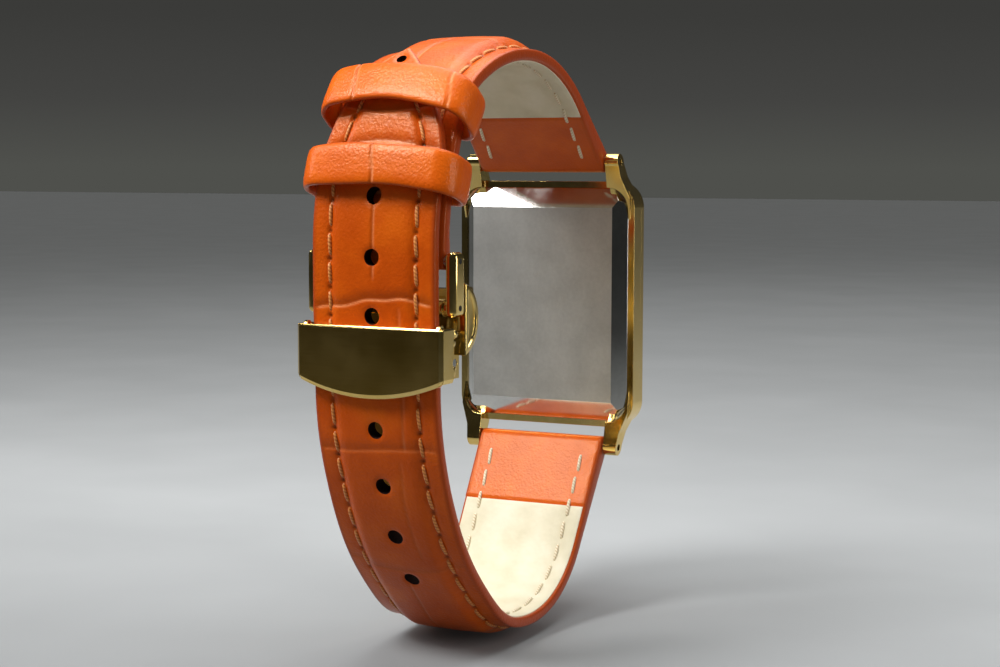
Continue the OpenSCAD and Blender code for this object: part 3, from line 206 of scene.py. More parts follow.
# What lights everything else: soft grey, and more of it on the dial's side
at_dial = add(tree, "MapRange", {"Value": towards.outputs["Y"], "From Min": 0.0,
                                 "From Max": -0.6})
soft_light = add(tree, "Mix", {"Factor": at_dial, COLOUR_A: linear("#838381"),
                               COLOUR_B: linear("#AEAEAC")}, **AS_COLOUR)
colour = add(tree, "Mix", {"Factor": seen, COLOUR_A: soft_light, COLOUR_B: dim_end},
             **AS_COLOUR)
tree.links.new(colour, tree.nodes["Background"].inputs["Color"])
tree.nodes["Background"].inputs["Strength"].default_value = 1.0
print("world nodes:", len(tree.nodes))

# %% Paper floor
# The paper is painted dark towards the camera, as painted shade where polished metal mirrors
# it, and dimmed for bounced light, so that it doesn't light the leather from below.
floor_finish, tree, shader = new_finish("matt_paper_floor", Roughness=0.9,
                                        Specular_IOR_Level=0.1)
place = in_mm(tree)
mottle = add(tree, "TexNoise", {"Vector": place, "Scale": 0.03, "Detail": 3})
paper = add(tree, "ValToRGB", {"Fac": mottle}, stops=[(0.3, "#A2A4A5"), (0.7, "#A7A9AA")])
forward = add(tree, "SeparateXYZ", {"Vector": place}, out="Y")
# Painted shade: darker towards the camera
front_shade = add(tree, "MapRange", {"Value": forward, "From Min": -40.0, "From Max": 170.0,
                              "To Max": 0.9})
ray = tree.nodes.new("ShaderNodeLightPath")
bounced = add(tree, "Math", {0: ray.outputs["Is Diffuse Ray"], 1: 0.6}, operation="MULTIPLY")
dimmed = add(tree, "Math", {0: front_shade, 1: bounced}, operation="MAXIMUM")
wire(tree, shader, {"Base Color": add(tree, "Mix", {
    "Factor": dimmed, COLOUR_A: paper, COLOUR_B: linear("#3A3B3B")}, **AS_COLOUR)})
# The padded leather bulges a little below its plain solid, so the floor leaves room for it
FLOOR_GAP, FLOOR_HALF = 0.8 * MM, 3.0
floor_z = cad_box[0].z - FLOOR_GAP
floor_mesh = bpy.data.meshes.new("floor")
floor_mesh.from_pydata([(x * FLOOR_HALF, y * FLOOR_HALF, floor_z)
                        for x, y in ((-1, -1), (1, -1), (1, 1), (-1, 1))], [], [(0, 1, 2, 3)])
floor_mesh.materials.append(floor_finish)
floor = bpy.data.objects.new("floor", floor_mesh)
bpy.context.scene.collection.objects.link(floor)
print("floor at", round(floor_z / MM, 2), "mm")

# %% [markdown]
# ## Leather
# The strap is calf leather, pressed with a hot plate that has the large square scales of a
# crocodile, dyed orange-tan and glazed. Up close it shows fine wrinkled grain, a slow drift
# of dye and a painted edge. Painted shade darkens the pressed creases and needle holes, and a
# painted highlight runs along the creases' shoulders and the tail's tip. Grain and dye could
# be a picture, but noise in millimetres fits any shape and never stretches. The painted shade,
# painted highlight and edge paint follow the surface, so the mesh carries them as attributes
# that the material reads.

# %% Glazed calf leather
def glazed_calf(name, stops, gloss):
    """Leather: dye drift, 0.3 mm wrinkles, painted shade and highlights, edge paint."""
    made, tree, shader = new_finish(
        name, Coat_Weight=gloss, Coat_Roughness=0.16, Specular_IOR_Level=0.35,
        Specular_Tint=linear("#FFD083"))
    place = in_mm(tree)
    drift = add(tree, "TexNoise", {"Vector": place, "Scale": 0.16, "Detail": 4,
                                   "Roughness": 0.6})
    fine = add(tree, "TexNoise", {"Vector": place, "Scale": 4.5, "Detail": 3,
                                  "Roughness": 0.6})
    wrinkles = add(tree, "TexVoronoi", {"Vector": place, "Scale": 3.0, "Randomness": 1.0},
                   feature="SMOOTH_F1", out="Distance")
    dye = add(tree, "ValToRGB", {
        "Fac": add(tree, "Math", {0: fine, 1: 0.16, 2: drift}, operation="MULTIPLY_ADD")},
        stops=stops)
    # Painted shade in creases and needle holes, painted highlights, and the edge's own paint
    for attribute, code in (("crease", "#431303"), ("glint", "#E79A66"),
                            ("paint", "#A63E12")):
        amount = add(tree, "Attribute", out="Fac", attribute_name=attribute)
        dye = add(tree, "Mix", {"Factor": amount, COLOUR_A: dye, COLOUR_B: linear(code)},
                  **AS_COLOUR)
    grain = add(tree, "Math", {0: fine, 1: 0.9, 2: wrinkles}, operation="MULTIPLY_ADD")
    relief = add(tree, "Bump", {"Height": grain, "Distance": 0.045 * MM, "Strength": 0.7})
    wire(tree, shader, {
        "Base Color": dye, "Normal": relief, "Coat Normal": relief,
        "Roughness": add(tree, "MapRange", {"Value": fine, "To Min": 0.28, "To Max": 0.46})})
    return made


calf = glazed_calf("glazed_embossed_calf",
                   [(0.36, "#BE4703"), (0.58, "#CC5105"), (0.82, "#DA6009")], 0.16)
# Painted light: a slightly lighter copy of the strap's leather, for the keepers' lit fronts
keeper_calf_painted_lighter = glazed_calf("glazed_calf_keeper",
                        [(0.36, "#C24A03"), (0.58, "#CF5506"), (0.82, "#DC620A")], 0.18)
print("leathers:", calf.name, keeper_calf_painted_lighter.name)

# %% [markdown]
# The walls of the punched holes are cut leather painted near black, as painted shade for the
# inside of each hole. The lining is thin cream calf, left matt so that it grips the wrist, with
# wider and softer pores and no glaze. The thread is waxed polyester of two plies, so each
# stitch has faint slanted stripes. The stripes follow the thread, which is what its UV map is for.

# %% Cut edge, lining and thread
# Painted shade: hole walls near black, for the shade inside the holes
hole_wall_shade, tree, shader = new_finish("hole_wall_painted_shade", Specular_IOR_Level=0.2)
place = in_mm(tree)
fibres = add(tree, "TexNoise", {"Vector": place, "Scale": 5.0, "Detail": 3})
wire(tree, shader, {
    "Base Color": add(tree, "ValToRGB", {"Fac": fibres},
                      stops=[(0.3, "#170A06"), (0.7, "#2B130A")]),
    "Roughness": add(tree, "MapRange", {"Value": fibres, "To Min": 0.8, "To Max": 0.95})})

lining_calf, tree, shader = new_finish("matt_cream_lining_calf", Specular_IOR_Level=0.35)
place = in_mm(tree)
drift = add(tree, "TexNoise", {"Vector": place, "Scale": 0.25, "Detail": 5})
pores = add(tree, "TexVoronoi", {"Vector": place, "Scale": 1.4}, out="Distance")
wire(tree, shader, {
    "Base Color": add(tree, "ValToRGB", {"Fac": drift},
                      stops=[(0.3, "#D6CDB0"), (0.55, "#E2DAC0"), (0.8, "#EAE3CE")]),
    "Roughness": add(tree, "MapRange", {"Value": pores, "To Min": 0.62, "To Max": 0.78}),
    "Normal": add(tree, "Bump", {"Height": pores, "Distance": 0.06 * MM, "Strength": 0.5})})


def waxed_thread(name, dark, light):
    """Two-ply thread: faint stripes slanted across its length, from its own UV map."""
    made, tree, shader = new_finish(name, Roughness=0.5, Sheen_Weight=0.2, Sheen_Roughness=0.4)
    slanted = add(tree, "Mapping", {"Vector": add(tree, "TexCoord", out="UV"),
                                    "Scale": (3.0, 1.0, 1.0)})
    plies = add(tree, "TexWave", {"Vector": slanted, "Scale": 0.5, "Distortion": 0.6},
                bands_direction="DIAGONAL", out="Fac")
    wire(tree, shader, {
        "Base Color": add(tree, "ValToRGB", {"Fac": plies}, stops=[(0.0, dark), (0.8, light)]),
        "Normal": add(tree, "Bump", {"Height": plies, "Distance": 0.02 * MM,
                                     "Strength": 0.4})})
    return made


tan_thread = waxed_thread("waxed_tan_thread", "#B9621F", "#DF9347")
cream_thread = waxed_thread("waxed_pale_thread", "#C9B38A", "#E8DCC2")
print("sewn with:", tan_thread.name, cream_thread.name)

# %% [markdown]
# ## Metals
# The case and clasp are steel, gold-plated over a polished surface. Polishing leaves hair
# scratches too fine to count, which show as a slight unevenness of the gloss, and rounds every
# edge by up to a tenth of a millimetre. That rounding catches the light, and a Bevel node
# draws it without touching the mesh. The clasp's plate is brushed from side to side with a
# fine belt: streaks a tenth of a millimetre apart, drawn at twice that so that they show. The
# movement has grained brass, gilt wheels, plated bridges and blued hands. One function covers
# them, because they differ in numbers only.

# %% Plated, brushed and grained metals
def metal(name, low, high, rough, scale, stretch=(1, 1, 1), relief=0.002, edge=0.05):
    """Metal whose colour, gloss and relief follow one stretched noise of the tool marks."""
    made, tree, shader = new_finish(name, Metallic=1.0)
    marks = add(tree, "TexNoise", {"Vector": in_mm(tree, stretch), "Scale": scale, "Detail": 5,
                                   "Roughness": 0.6})
    smear = add(tree, "TexNoise", {"Vector": in_mm(tree), "Scale": 0.22, "Detail": 2})
    both = add(tree, "Math", {0: marks, 1: 0.6, 2: smear}, operation="MULTIPLY_ADD")
    rounded = add(tree, "Bevel", {"Radius": edge * MM}, samples=4)
    wire(tree, shader, {
        "Base Color": add(tree, "ValToRGB", {"Fac": both}, stops=[(0.6, low), (1.0, high)]),
        "Roughness": add(tree, "MapRange", {"Value": both, "From Min": 0.5, "From Max": 1.1,
                                            "To Min": rough[0], "To Max": rough[1]}),
        "Normal": add(tree, "Bump", {"Height": marks, "Distance": relief * MM,
                                     "Strength": 0.6, "Normal": rounded})})
    return made


gold_polished = metal("polished_gold_plate", "#E4C26E", "#ECCF86", (0.06, 0.16), 1.5, edge=0.1)
gold_brushed = metal("brushed_gold_plate", "#BD9A4A", "#D0AE62", (0.12, 0.22), 5.0,
                     (0.04, 1, 1), 0.003)
steel_satin = metal("satin_steel", "#A9A9A6", "#BDBDB9", (0.22, 0.38), 6.0, (0.1, 1, 1), 0.004)
steel_pinion = metal("hardened_steel", "#A2A3A6", "#B6B7BA", (0.14, 0.26), 5.0)
brass_grained = metal("grained_brass", "#C9A560", "#D8B672", (0.30, 0.46), 8.0, relief=0.006)
brass_gilt = metal("gilt_brass_wheel", "#D6B060", "#E4C278", (0.16, 0.28), 7.0)
steel_blued = metal("blued_steel", "#16245E", "#23388A", (0.14, 0.26), 4.0)

# The back is satin on its flat and polished on its bevels, so its gloss follows the way that
# the surface faces.
steel_back = metal("satin_steel_with_polished_bevels", "#C6C5C0", "#D6D5D0", (0.06, 0.15), 2.0,
                   edge=0.08)
tree = steel_back.node_tree
facing = add(tree, "SeparateXYZ", {"Vector": add(tree, "TexCoord", out="Normal")}, out="Y")
wire(tree, tree.nodes["Principled BSDF"], {"Roughness": add(tree, "MapRange", {
    "Value": facing, "From Min": 0.96, "From Max": 0.99, "To Min": 0.09, "To Max": 0.46})})
print("case and clasp:", gold_polished.name, gold_brushed.name, steel_back.name)

# %% Stripes on the plated bridges
# Bridges are rubbed with a rotating wooden peg, which leaves waves about 1 mm wide.
rhodium, tree, shader = new_finish("striped_rhodium", Metallic=1.0)
place = in_mm(tree)
waves = add(tree, "TexWave", {"Vector": place, "Scale": 0.32, "Distortion": 0.4, "Detail": 1},
            out="Fac")
wire(tree, shader, {
    "Base Color": add(tree, "ValToRGB", {"Fac": waves}, stops=[(0.2, "#B4B4B6"),
                                                               (0.8, "#CCCCCE")]),
    "Roughness": add(tree, "MapRange", {"Value": waves, "To Min": 0.18, "To Max": 0.36})})
print("striped finish:", rhodium.name)

# %% [markdown]
# ## Dial, glass and small trim
# The dial is brass under satin off-white lacquer with printed black batons. The glass is flat
# mineral crystal held by a pale nylon gasket, and a moulded grey ring centres the movement.

# %% Lacquer, print, glass and plastics
def coated(name, low, high, rough, scale, relief, **constants):
    """A painted or moulded surface: a faint mottle and the slight texture of its finish."""
    made, tree, shader = new_finish(name, **constants)
    place = in_mm(tree)
    cloud = add(tree, "TexNoise", {"Vector": place, "Scale": scale, "Detail": 4})
    wire(tree, shader, {
        "Base Color": add(tree, "ValToRGB", {"Fac": cloud}, stops=[(0.3, low), (0.7, high)]),
        "Roughness": add(tree, "MapRange", {"Value": cloud, "To Min": rough - 0.04,
                                            "To Max": rough + 0.06}),
        "Normal": add(tree, "Bump", {"Height": cloud, "Distance": relief * MM,
                                     "Strength": 0.4})})
    return made


dial_lacquer = coated("satin_dial_lacquer", "#E9E5D9", "#EFECE2", 0.38, 3.0, 0.004,
                      Coat_Weight=0.4, Coat_Roughness=0.1)
black_print = coated("black_dial_print", "#0B0B0D", "#131316", 0.28, 4.0, 0.004)
nylon = coated("pale_nylon_gasket", "#D4D3CC", "#DCDBD4", 0.42, 2.0, 0.01)
ring_plastic = coated("moulded_grey_ring", "#8A8C90", "#94969A", 0.5, 2.5, 0.01)
# Painted shade: dark discs stand for the shade inside the pins' holes
pin_hole_shade = coated("shadowed_pin_hole", "#0D0A05", "#1A140A", 0.6, 4.0, 0.004)
mineral_glass, tree, shader = new_finish("flat_mineral_glass", Transmission_Weight=1.0,
                                         IOR=1.52, Roughness=0.0)
place = in_mm(tree)
wipe = add(tree, "TexNoise", {"Vector": place, "Scale": 0.3, "Detail": 3})
wire(tree, shader, {"Base Color": add(tree, "ValToRGB", {"Fac": wipe},
                                      stops=[(0.3, "#F4F8F8"), (0.7, "#FDFEFE")])})
print("front:", dial_lacquer.name, black_print.name, mineral_glass.name)

# %% [markdown]
# ## Finishes on the CAD pieces
# Rigid CAD pieces keep their shape, so each only needs its finish. A list per finish reads
# like a maker's parts list.

# %% Dress the CAD nodes
PARTS_BY_FINISH = [
    (gold_polished, "case_middle bezel crown_tube crown clasp_frame clasp_base "
                    "clasp_fold_blade clasp_buckle clasp_cover push_button_left "
                    "push_button_right"),
    (steel_back, "case_back"),
    (steel_satin, "spring_bar_upper spring_bar_lower strap_bar fold_pin buckle_pin "
                  "button_springs ratchet_wheel crown_wheel click setting_lever"),
    (steel_pinion, "winding_stem winding_pinion sliding_pinion cannon_pinion barrel_arbor "
                   "mainspring movement_screws pallet_fork"),
    (brass_grained, "main_plate"),
    (rhodium, "barrel_bridge train_bridge pallet_bridge balance_cock"),
    (brass_gilt, "barrel centre_wheel third_wheel fourth_wheel escape_wheel balance_wheel "
                 "minute_wheel hour_wheel"),
    (steel_blued, "hour_hand minute_hand hairspring"),
    (dial_lacquer, "dial"), (black_print, "dial_markers"), (nylon, "crystal_gasket"),
    (ring_plastic, "movement_ring"), (mineral_glass, "crystal"),
    (calf, "strap_short strap_long"), (lining_calf, "lining_short lining_long"),
    (keeper_calf_painted_lighter, "keeper_fixed keeper_sliding"),
]
dressed = set()
for finish, names in PARTS_BY_FINISH:
    for name in names.split():
        slots = nodes[name].data.materials
        slots.clear()
        slots.append(finish)
        dressed.add(name)
print("left without a finish:", sorted(set(nodes) - dressed))

# %% [markdown]
# ## From arrays to a piece
# Every surface below is worked out as whole arrays of points. One function turns points,
# quads and per-point values into a closed mesh: it merges points that meet, so that seams
# and poles close, lets Blender turn the faces outwards, and softens all but sharp corners.

# %% Make a piece from arrays
# Points closer than two thousandths of a millimetre are one, counted in metres
MERGE, SLIVER = 2e-6, 1e-7


def quads_of(rows, cols, wrap_rows=False):
    """Corner numbers of the quads between rows that are loops of points."""
    i = np.arange(rows if wrap_rows else rows - 1)
    i, j = (a.ravel() for a in np.meshgrid(i, np.arange(cols), indexing="ij"))
    after, beside = (i + 1) % rows, (j + 1) % cols
    return np.stack([i * cols + j, after * cols + j, after * cols + beside,
                     i * cols + beside], -1)


def end_caps(rows, per):
    """Quads that close the first and last loop, from each point to the one opposite it."""
    j = np.arange(per // 2 - 1)
    return np.concatenate([row * per + np.stack([j, j + 1, per - 2 - j, per - 1 - j], -1)
                           for row in (0, rows - 1)])


def make_piece(name, points, faces, finishes, values=None, uv=None, sharp=35, pick=None):
    """A closed mesh object in metres from points in mm, quads, and per-point values."""
    mesh = bpy.data.meshes.new(name)
    mesh.from_pydata((points * MM).tolist(), [], faces.tolist())
    for finish in finishes:
        mesh.materials.append(finish)
    if pick is not None:
        mesh.polygons.foreach_set("material_index", pick.astype(np.int32))
    for key, value in (values or {}).items():
        mesh.attributes.new(key, "FLOAT", "POINT").data.foreach_set(
            "value", np.ascontiguousarray(value, np.float32))
    if uv is not None:
        corners = np.zeros(len(mesh.loops), np.int32)
        mesh.loops.foreach_get("vertex_index", corners)
        mesh.uv_layers.new(name="UVMap").data.foreach_set(
            "uv", np.ascontiguousarray(uv[corners], np.float32).ravel())
    work = bmesh.new()
    work.from_mesh(mesh)
    bmesh.ops.remove_doubles(work, verts=work.verts, dist=MERGE)
    bmesh.ops.dissolve_degenerate(work, edges=work.edges, dist=SLIVER)
    bmesh.ops.recalc_face_normals(work, faces=work.faces)
    open_edges = sum(1 for e in work.edges if len(e.link_faces) != 2)
    work.to_mesh(mesh)
    work.free()
    mesh.polygons.foreach_set("use_smooth", np.ones(len(mesh.polygons), bool))
    mesh.set_sharp_from_angle(angle=np.radians(sharp))
    piece = bpy.data.objects.new(name, mesh)
    bpy.context.scene.collection.objects.link(piece)
    print(name, len(mesh.polygons), "faces,", open_edges, "open edges")
    return piece


# %% [markdown]
# ## The strap's route
# Each half of the strap lies on straight runs and arcs, as the CAD model has it. A place on
# it is a distance along, a place across and a height from the wrist side. With that, a
# strap is drawn flat, and the route bends it.

# %% Follow a route of runs and arcs
def follow(route, s):
    """Y, Z and heading at distances s: each move is a run, or an arc of a radius and turn."""
    s = np.asarray(s, float)
    (y, z, h), moves = route["start"], route["moves"]
    h = np.radians(h)
    Y, Z, H = np.zeros_like(s), np.zeros_like(s), np.zeros_like(s)
    done = 0.0
    for k, (length, turn) in enumerate(moves):
        here = (s >= done) if k else np.ones(s.shape, bool)
        q = s[here] - done
        if turn == 0:
            Y[here], Z[here], H[here] = y + q * np.cos(h), z + q * np.sin(h), h
            y, z, run = y + length * np.cos(h), z + length * np.sin(h), length
        else:
            way, full = np.sign(turn), np.radians(turn)
            cy, cz = y - way * length * np.sin(h), z + way * length * np.cos(h)
            a = h + way * q / length
            Y[here], Z[here], H[here] = (cy + way * length * np.sin(a),
                                         cz - way * length * np.cos(a), a)
            h, run = h + full, length * abs(full)
            y, z = cy + way * length * np.sin(h), cz - way * length * np.cos(h)
        done += run
    return Y, Z, H


def on_strap(route, s, x, d):
    """Points at distance s along, x across and d out from the wrist side.

    Worn leather strays from the plain arcs: the long strap sags 0.6 mm at the bottom, is
    drawn in by 0.3 mm above it, and its tail lies 0.2 to 1 mm to one side.
    """
    Y, Z, H = follow(route, s)
    side = route["side"]
    if route is LOWER:
        d = d + 0.6 * np.exp(-((s - 36) / 5) ** 2) - 0.3 * np.exp(-((s - 57) / 8) ** 2)
        x = x + 0.2 * np.clip((s - 73) / 6, 0, 1) + 0.8 * np.clip((s - 99) / 11, 0, 1)
    return np.stack(np.broadcast_arrays(x, Y - side * d * np.sin(H), Z + side * d * np.cos(H)),
                    -1)


def route_length(route):
    """The sum of its runs and of radius times angle for its arcs."""
    return sum(a if t == 0 else a * abs(np.radians(t)) for a, t in route["moves"])


UPPER = {"side": 1, "start": (0.1046, 17.8954, 45.0),
         "moves": [(9.9, 0), (20, -45), (26, -28.5), (10, -41.5), (5, 0), (25, -20), (1.2, 0)]}
LOWER = {"side": -1, "start": (0.2898, -18.1266, -57.6),
         "moves": [(14.1, 0), (14.2, 85.4), (32.1566, 62.2), (15.5248, 0), (27.12, 20),
                   (5, 0), (24, 10), (8.9, 38)]}
for route in (UPPER, LOWER):
    route["length"] = route_length(route)
print("strap lengths", round(UPPER["length"], 2), round(LOWER["length"], 2), "mm")

# %% [markdown]
# ## Padding, creases and holes
# A padded strap is thick along its middle and thin at its edges, where it is stitched down.
# The press plate leaves creases between the scales. All this is one height over the flat
# strap: the smooth padding, minus a narrow valley along each crease, minus a groove under
# the stitches and a dimple at each needle hole. A crease is a curve across or along the
# strap, so its distance is the difference from that curve, divided by its slope.

# %% Heights over the flat strap
STITCH_IN, STITCH_PITCH, HALF_STITCH = 2.4, 3.19, 1.28
EDGE_ROUND = 0.42
HOLE_R, TIP_HOLE_R, HOLE_PITCH = 0.95, 0.62, 6.6
# Eight holes, the post in the fourth from the tip, and one in the tip itself. The four below
# the clasp lie half a millimetre nearer to it.
post_s = 71.645
hole_s = post_s + (3 - np.arange(8)) * HOLE_PITCH
hole_s = np.append(hole_s + 0.5 * (hole_s < post_s - 1), LOWER["length"] - 2.3)
print("holes at", hole_s.round(1))


def hole_radius(at):
    """The strap's holes are alike, and the one in the tip is smaller."""
    return TIP_HOLE_R if at == hole_s[-1] else HOLE_R


def ease(v):
    """0 below 0, 1 above 1, and 3v2 - 2v3 between."""
    v = np.clip(v, 0, 1)
    return v * v * (3 - 2 * v)


def crease_set(s, x, creases):
    """Depth and glint of all creases: valleys that are steep on one side and soft on the other."""
    deep, glint = np.zeros(np.shape(s)), np.zeros(np.shape(s))
    for c in creases:
        run, off = (s, x) if c["way"] == "along" else (x, s)
        mid = c["at"] + sum(a * np.sin(run / p * 2 * np.pi + q) for a, p, q in c["waves"])
        slope = sum(a / p * 2 * np.pi * np.cos(run / p * 2 * np.pi + q)
                    for a, p, q in c["waves"])
        gap = (off - mid) / np.sqrt(1 + slope ** 2)
        lo, hi = c["span"]
        window = ease((run - lo) / 1.2) * ease((hi - run) / 1.2)
        width = np.where(gap > 0, c["soft"], c["steep"])
        deep += window * c["depth"] * np.exp(-(gap / width) ** 2)
        # A painted highlight just past the steep side of each valley
        glint += window * c["glint"] * np.exp(-((gap + 0.8 * c["steep"]) / 0.13) ** 2)
    return deep, np.clip(glint, 0, 1)


def along(at, span, depth=0.13, waves=((0.18, 31, 0.4), (0.07, 9, 1.0)), glint=0.45):
    """A crease along the strap at x = at, swaying by waves of (size, length, phase)."""
    return {"way": "along", "at": at, "span": span, "depth": depth, "waves": waves,
            "steep": 0.16, "soft": 0.22, "glint": glint}


def across(at, depth=0.15, waves=((0.25, 13, 0.6), (0.1, 4.5, 2.0)), glint=0.5):
    """A crease across the strap at s = at, with one side much softer than the other."""
    return {"way": "across", "at": at, "span": (-8.4, 8.4), "depth": depth, "waves": waves,
            "steep": 0.18, "soft": 0.75, "glint": glint}


LOWER_CREASES = [
    across(101.6, 0.13, ((-0.5, 16, 1.571),), glint=0.3),
    across(97.2, 0.13, ((0.4, 16, 1.571),), glint=0.3),
    along(0.0, (82.0, 96.8), 0.10, ((0.1, 23, 0.0),), 0.35),
    across(79.75, 0.14, ((0.6, 20, 2.356), (0.12, 5, 0.5)), glint=0.45),
    along(-3.5, (62.9, 79.6), 0.08, ((0.15, 19, 0.5),), 0.2),
    across(63.3, 0.08, ((0.25, 21, 2.9),), glint=0.2),
    across(47.7, 0.05, ((0.5, 20, -1.571),), glint=0.1),
    along(-2.6, (48.8, 62.6), 0.05, ((0.25, 17, 0.0),), 0.1),
    along(0.6, (17, 47.0), 0.05, glint=0.15), across(33, 0.12), across(18, 0.14)]
UPPER_CREASES = [
    along(1.0, (1, 43.4), 0.14, ((0.3, 33, 0.9), (0.06, 8, 0)), 0.6),
    across(6.5, 0.14), across(17.5, 0.16, ((0.5, 15, 1.0),)),
    across(28.6, 0.05, ((0.4, 14, 2.5),), glint=0.1),
    across(44.0, 0.14), across(53.5, 0.12)]
# Eyes are the radii of the rounded ends. At the knots the leather is as high as middle says
# along its centre and as edge says at its rims. The seat and the lining stop short of the end.
UPPER.update(creases=UPPER_CREASES, eye=1.35, far_eye=1.0, holes=np.zeros(0),
             stitched=(1.6, 59.2), seat_end=2.2, lining_end=2.35,
             knots=[0, 9.9, 25.61, 38.54, 61], middle=[2.8, 3.1, 3.15, 2.15, 2.0],
             edge=[2.5, 1.75, 1.5, 1.6, 1.7])
LOWER.update(creases=LOWER_CREASES, eye=1.35, far_eye=0.0, holes=hole_s,
             stitched=(1.6, 106.0), seat_end=0.35, lining_end=0.55,
             knots=[0, 14.1, 35.26, 60, 70.2, 108], middle=[2.8, 2.7, 2.45, 1.72, 1.6, 1.6],
             edge=[2.5, 1.6, 1.35, 1.3, 1.38, 1.38])


def half_width(route, s):
    """Half of 18 mm at the lugs and of 16 mm at the clasp, and a pointed end on the tail."""
    Y, Z, H = follow(route, s)
    w = np.interp(Y, [1.0, 41.4963], [9.0, 7.9])
    if route is LOWER:
        left = np.clip((route["length"] - s) / 16.5, 0, 1)
        w = w * (1 - (1 - left) ** 1.9) ** 0.93
    return w


def stitch_line(route):
    """Distances along of the middles of the stitches."""
    return np.arange(*route["stitched"], STITCH_PITCH) + STITCH_PITCH / 2


def outer_height(route, s, x, w):
    """Height of the grain side, with how much painted crease shade and painted glint show there.

    The rim's height, a dome of padding on it, a step of 0.1 mm inside the seam, minus the
    seam's groove, the creases, the needle holes and a sunk ring round each punched hole.
    """
    mid = np.interp(s, route["knots"], route["middle"])
    rim = np.interp(s, route["knots"], route["edge"])
    inset = w - np.abs(x)
    puff = np.clip(mid - rim, 0, None)
    dome = ease((inset - 1.9) / 2.2) * 0.72 + 0.28 * (1 - (x / np.maximum(w, 1)) ** 2)
    d = rim + puff * dome + 0.10 * ease((inset - 2.5) / 1.0)
    on_band = ease((w - 4.0) / 2)
    d = d - 0.13 * on_band * np.exp(-((inset - STITCH_IN) / 0.42) ** 2)
    deep, glint = crease_set(s, x, route["creases"])
    calm = ease((inset - 0.3) / 0.8)
    d = d - deep * calm
    near = np.abs((s - stitch_line(route)[0] + STITCH_PITCH / 2) % STITCH_PITCH)
    near = np.minimum(near, STITCH_PITCH - near)
    needle = on_band * np.exp(-(near ** 2 + (inset - STITCH_IN) ** 2) / 0.26 ** 2)
    d = d - 0.22 * needle
    for c in route["holes"]:
        rho = np.hypot(s - c, x)
        lip = rho - hole_radius(c)
        d = d - 0.10 * np.exp(-(lip / 0.22) ** 2) * (rho < 3)
        glint = glint * (1 - np.exp(-(lip / 0.3) ** 2) * 0.6)
    # A painted highlight along the rim of the tail's tip
    tip_rim_highlight = ease((s - 98) / 6) * (route is LOWER) * np.exp(-((inset - 0.35) / 0.22) ** 2)
    # Painted shade in the crease valleys and needle holes, then the painted highlights
    return (d, np.clip(deep / 0.17 * 0.5 + needle * 0.85, 0, 1),
            np.clip(glint * calm + 0.9 * tip_rim_highlight, 0, 1))


def inner_height(route, s, x, w):
    """Height of the wrist side: a shallow seat for the lining, past the turned-in leather."""
    inset = w - np.abs(x)
    far = route["length"] - route["seat_end"]
    seat = ease((s - 9.2) / 0.15) * ease((far - s) / 0.15) * ease((inset - 0.30) / 0.12)
    return 0.16 * seat


# %% [markdown]
# ## A strap as one closed skin
# Rows run along the strap and columns across. Each row is a loop: over the grain side, round
# one painted edge, back along the wrist side and round the other edge. Rows and columns lie
# closer together at creases, holes and stitches. A hole leaves out the quads inside it,
# pulls the points around it onto a circle and joins both sides with a wall.

# %% Rows, columns and holes
# The seam's place as a share of the half width
STITCH_U = 0.735


def dense(lo, hi, coarse, spots):
    """Places between lo and hi: coarse apart, and closer near each (place, reach, step)."""
    t = np.linspace(lo, hi, 12001)
    rate = np.full(t.shape, 1 / coarse)
    for at, reach, step in spots:
        rate = np.maximum(rate, (1 / step) * np.exp(-((t - at) / reach) ** 4))
    total = np.concatenate([[0], np.cumsum((rate[1:] + rate[:-1]) / 2 * np.diff(t))])
    return np.interp(np.linspace(0, total[-1], int(np.ceil(total[-1])) + 1), total, t)


def strap_rows(route):
    """Distances along, with the half circle round the spring bar at the lug end."""
    R, end = route["eye"], route["length"]
    spots = [(c["at"], 1.6, 0.16) for c in route["creases"] if c["way"] == "across"]
    spots += [(c, 1.3, 0.16) for c in route["holes"]]
    body = dense(0, end, 0.36, spots + ([(end, 1.5, 0.08)] if route is LOWER else []))
    turn = np.linspace(0, np.pi / 2, 9)
    start = -R * np.cos(turn)[:-1]
    finish = end + route["far_eye"] * np.sin(turn[1:]) if route["far_eye"] else []
    return np.concatenate([start, body, finish])


def eye_limits(route, s, outer, inner):
    """Rounds both sides of the leather to a circle about the bar at each end."""
    for R, past in ((route["eye"], -s), (route["far_eye"], s - route["length"])):
        if R:
            half = np.sqrt(np.clip(R * R - np.clip(past, 0, R) ** 2, 0, None))
            turned = past > 0
            outer = np.where(turned, np.minimum(outer, R + half), outer)
            inner = np.where(turned, R - half, inner)
    return np.maximum(outer, inner), inner


def open_holes(S, X, centres, wider=0.0):
    """Grid points moved onto each hole's circle, the quads inside it, and its edge's pairs."""
    S, X = S.copy(), X.copy()
    cols = S.shape[1]
    mid_s, mid_x = ((a[:-1, :-1] + a[1:, :-1] + a[:-1, 1:] + a[1:, 1:]) / 4 for a in (S, X))
    gone = np.zeros(mid_s.shape, bool)
    for c in centres:
        gone |= np.hypot(mid_s - c, mid_x) < hole_radius(c) + wider
    i, j = np.nonzero(gone[1:] != gone[:-1])
    k, m = np.nonzero(gone[:, 1:] != gone[:, :-1])
    a = np.concatenate([(i + 1) * cols + j, k * cols + m + 1])
    b = np.concatenate([(i + 1) * cols + j + 1, (k + 1) * cols + m + 1])
    for corner in np.unique(np.concatenate([a, b])):
        i, j = divmod(int(corner), cols)
        c = centres[np.argmin(np.abs(centres - S[i, j]))]
        scale = (hole_radius(c) + wider) / np.hypot(S[i, j] - c, X[i, j])
        S[i, j], X[i, j] = c + (S[i, j] - c) * scale, X[i, j] * scale
    return S, X, np.nonzero(gone), (a, b)


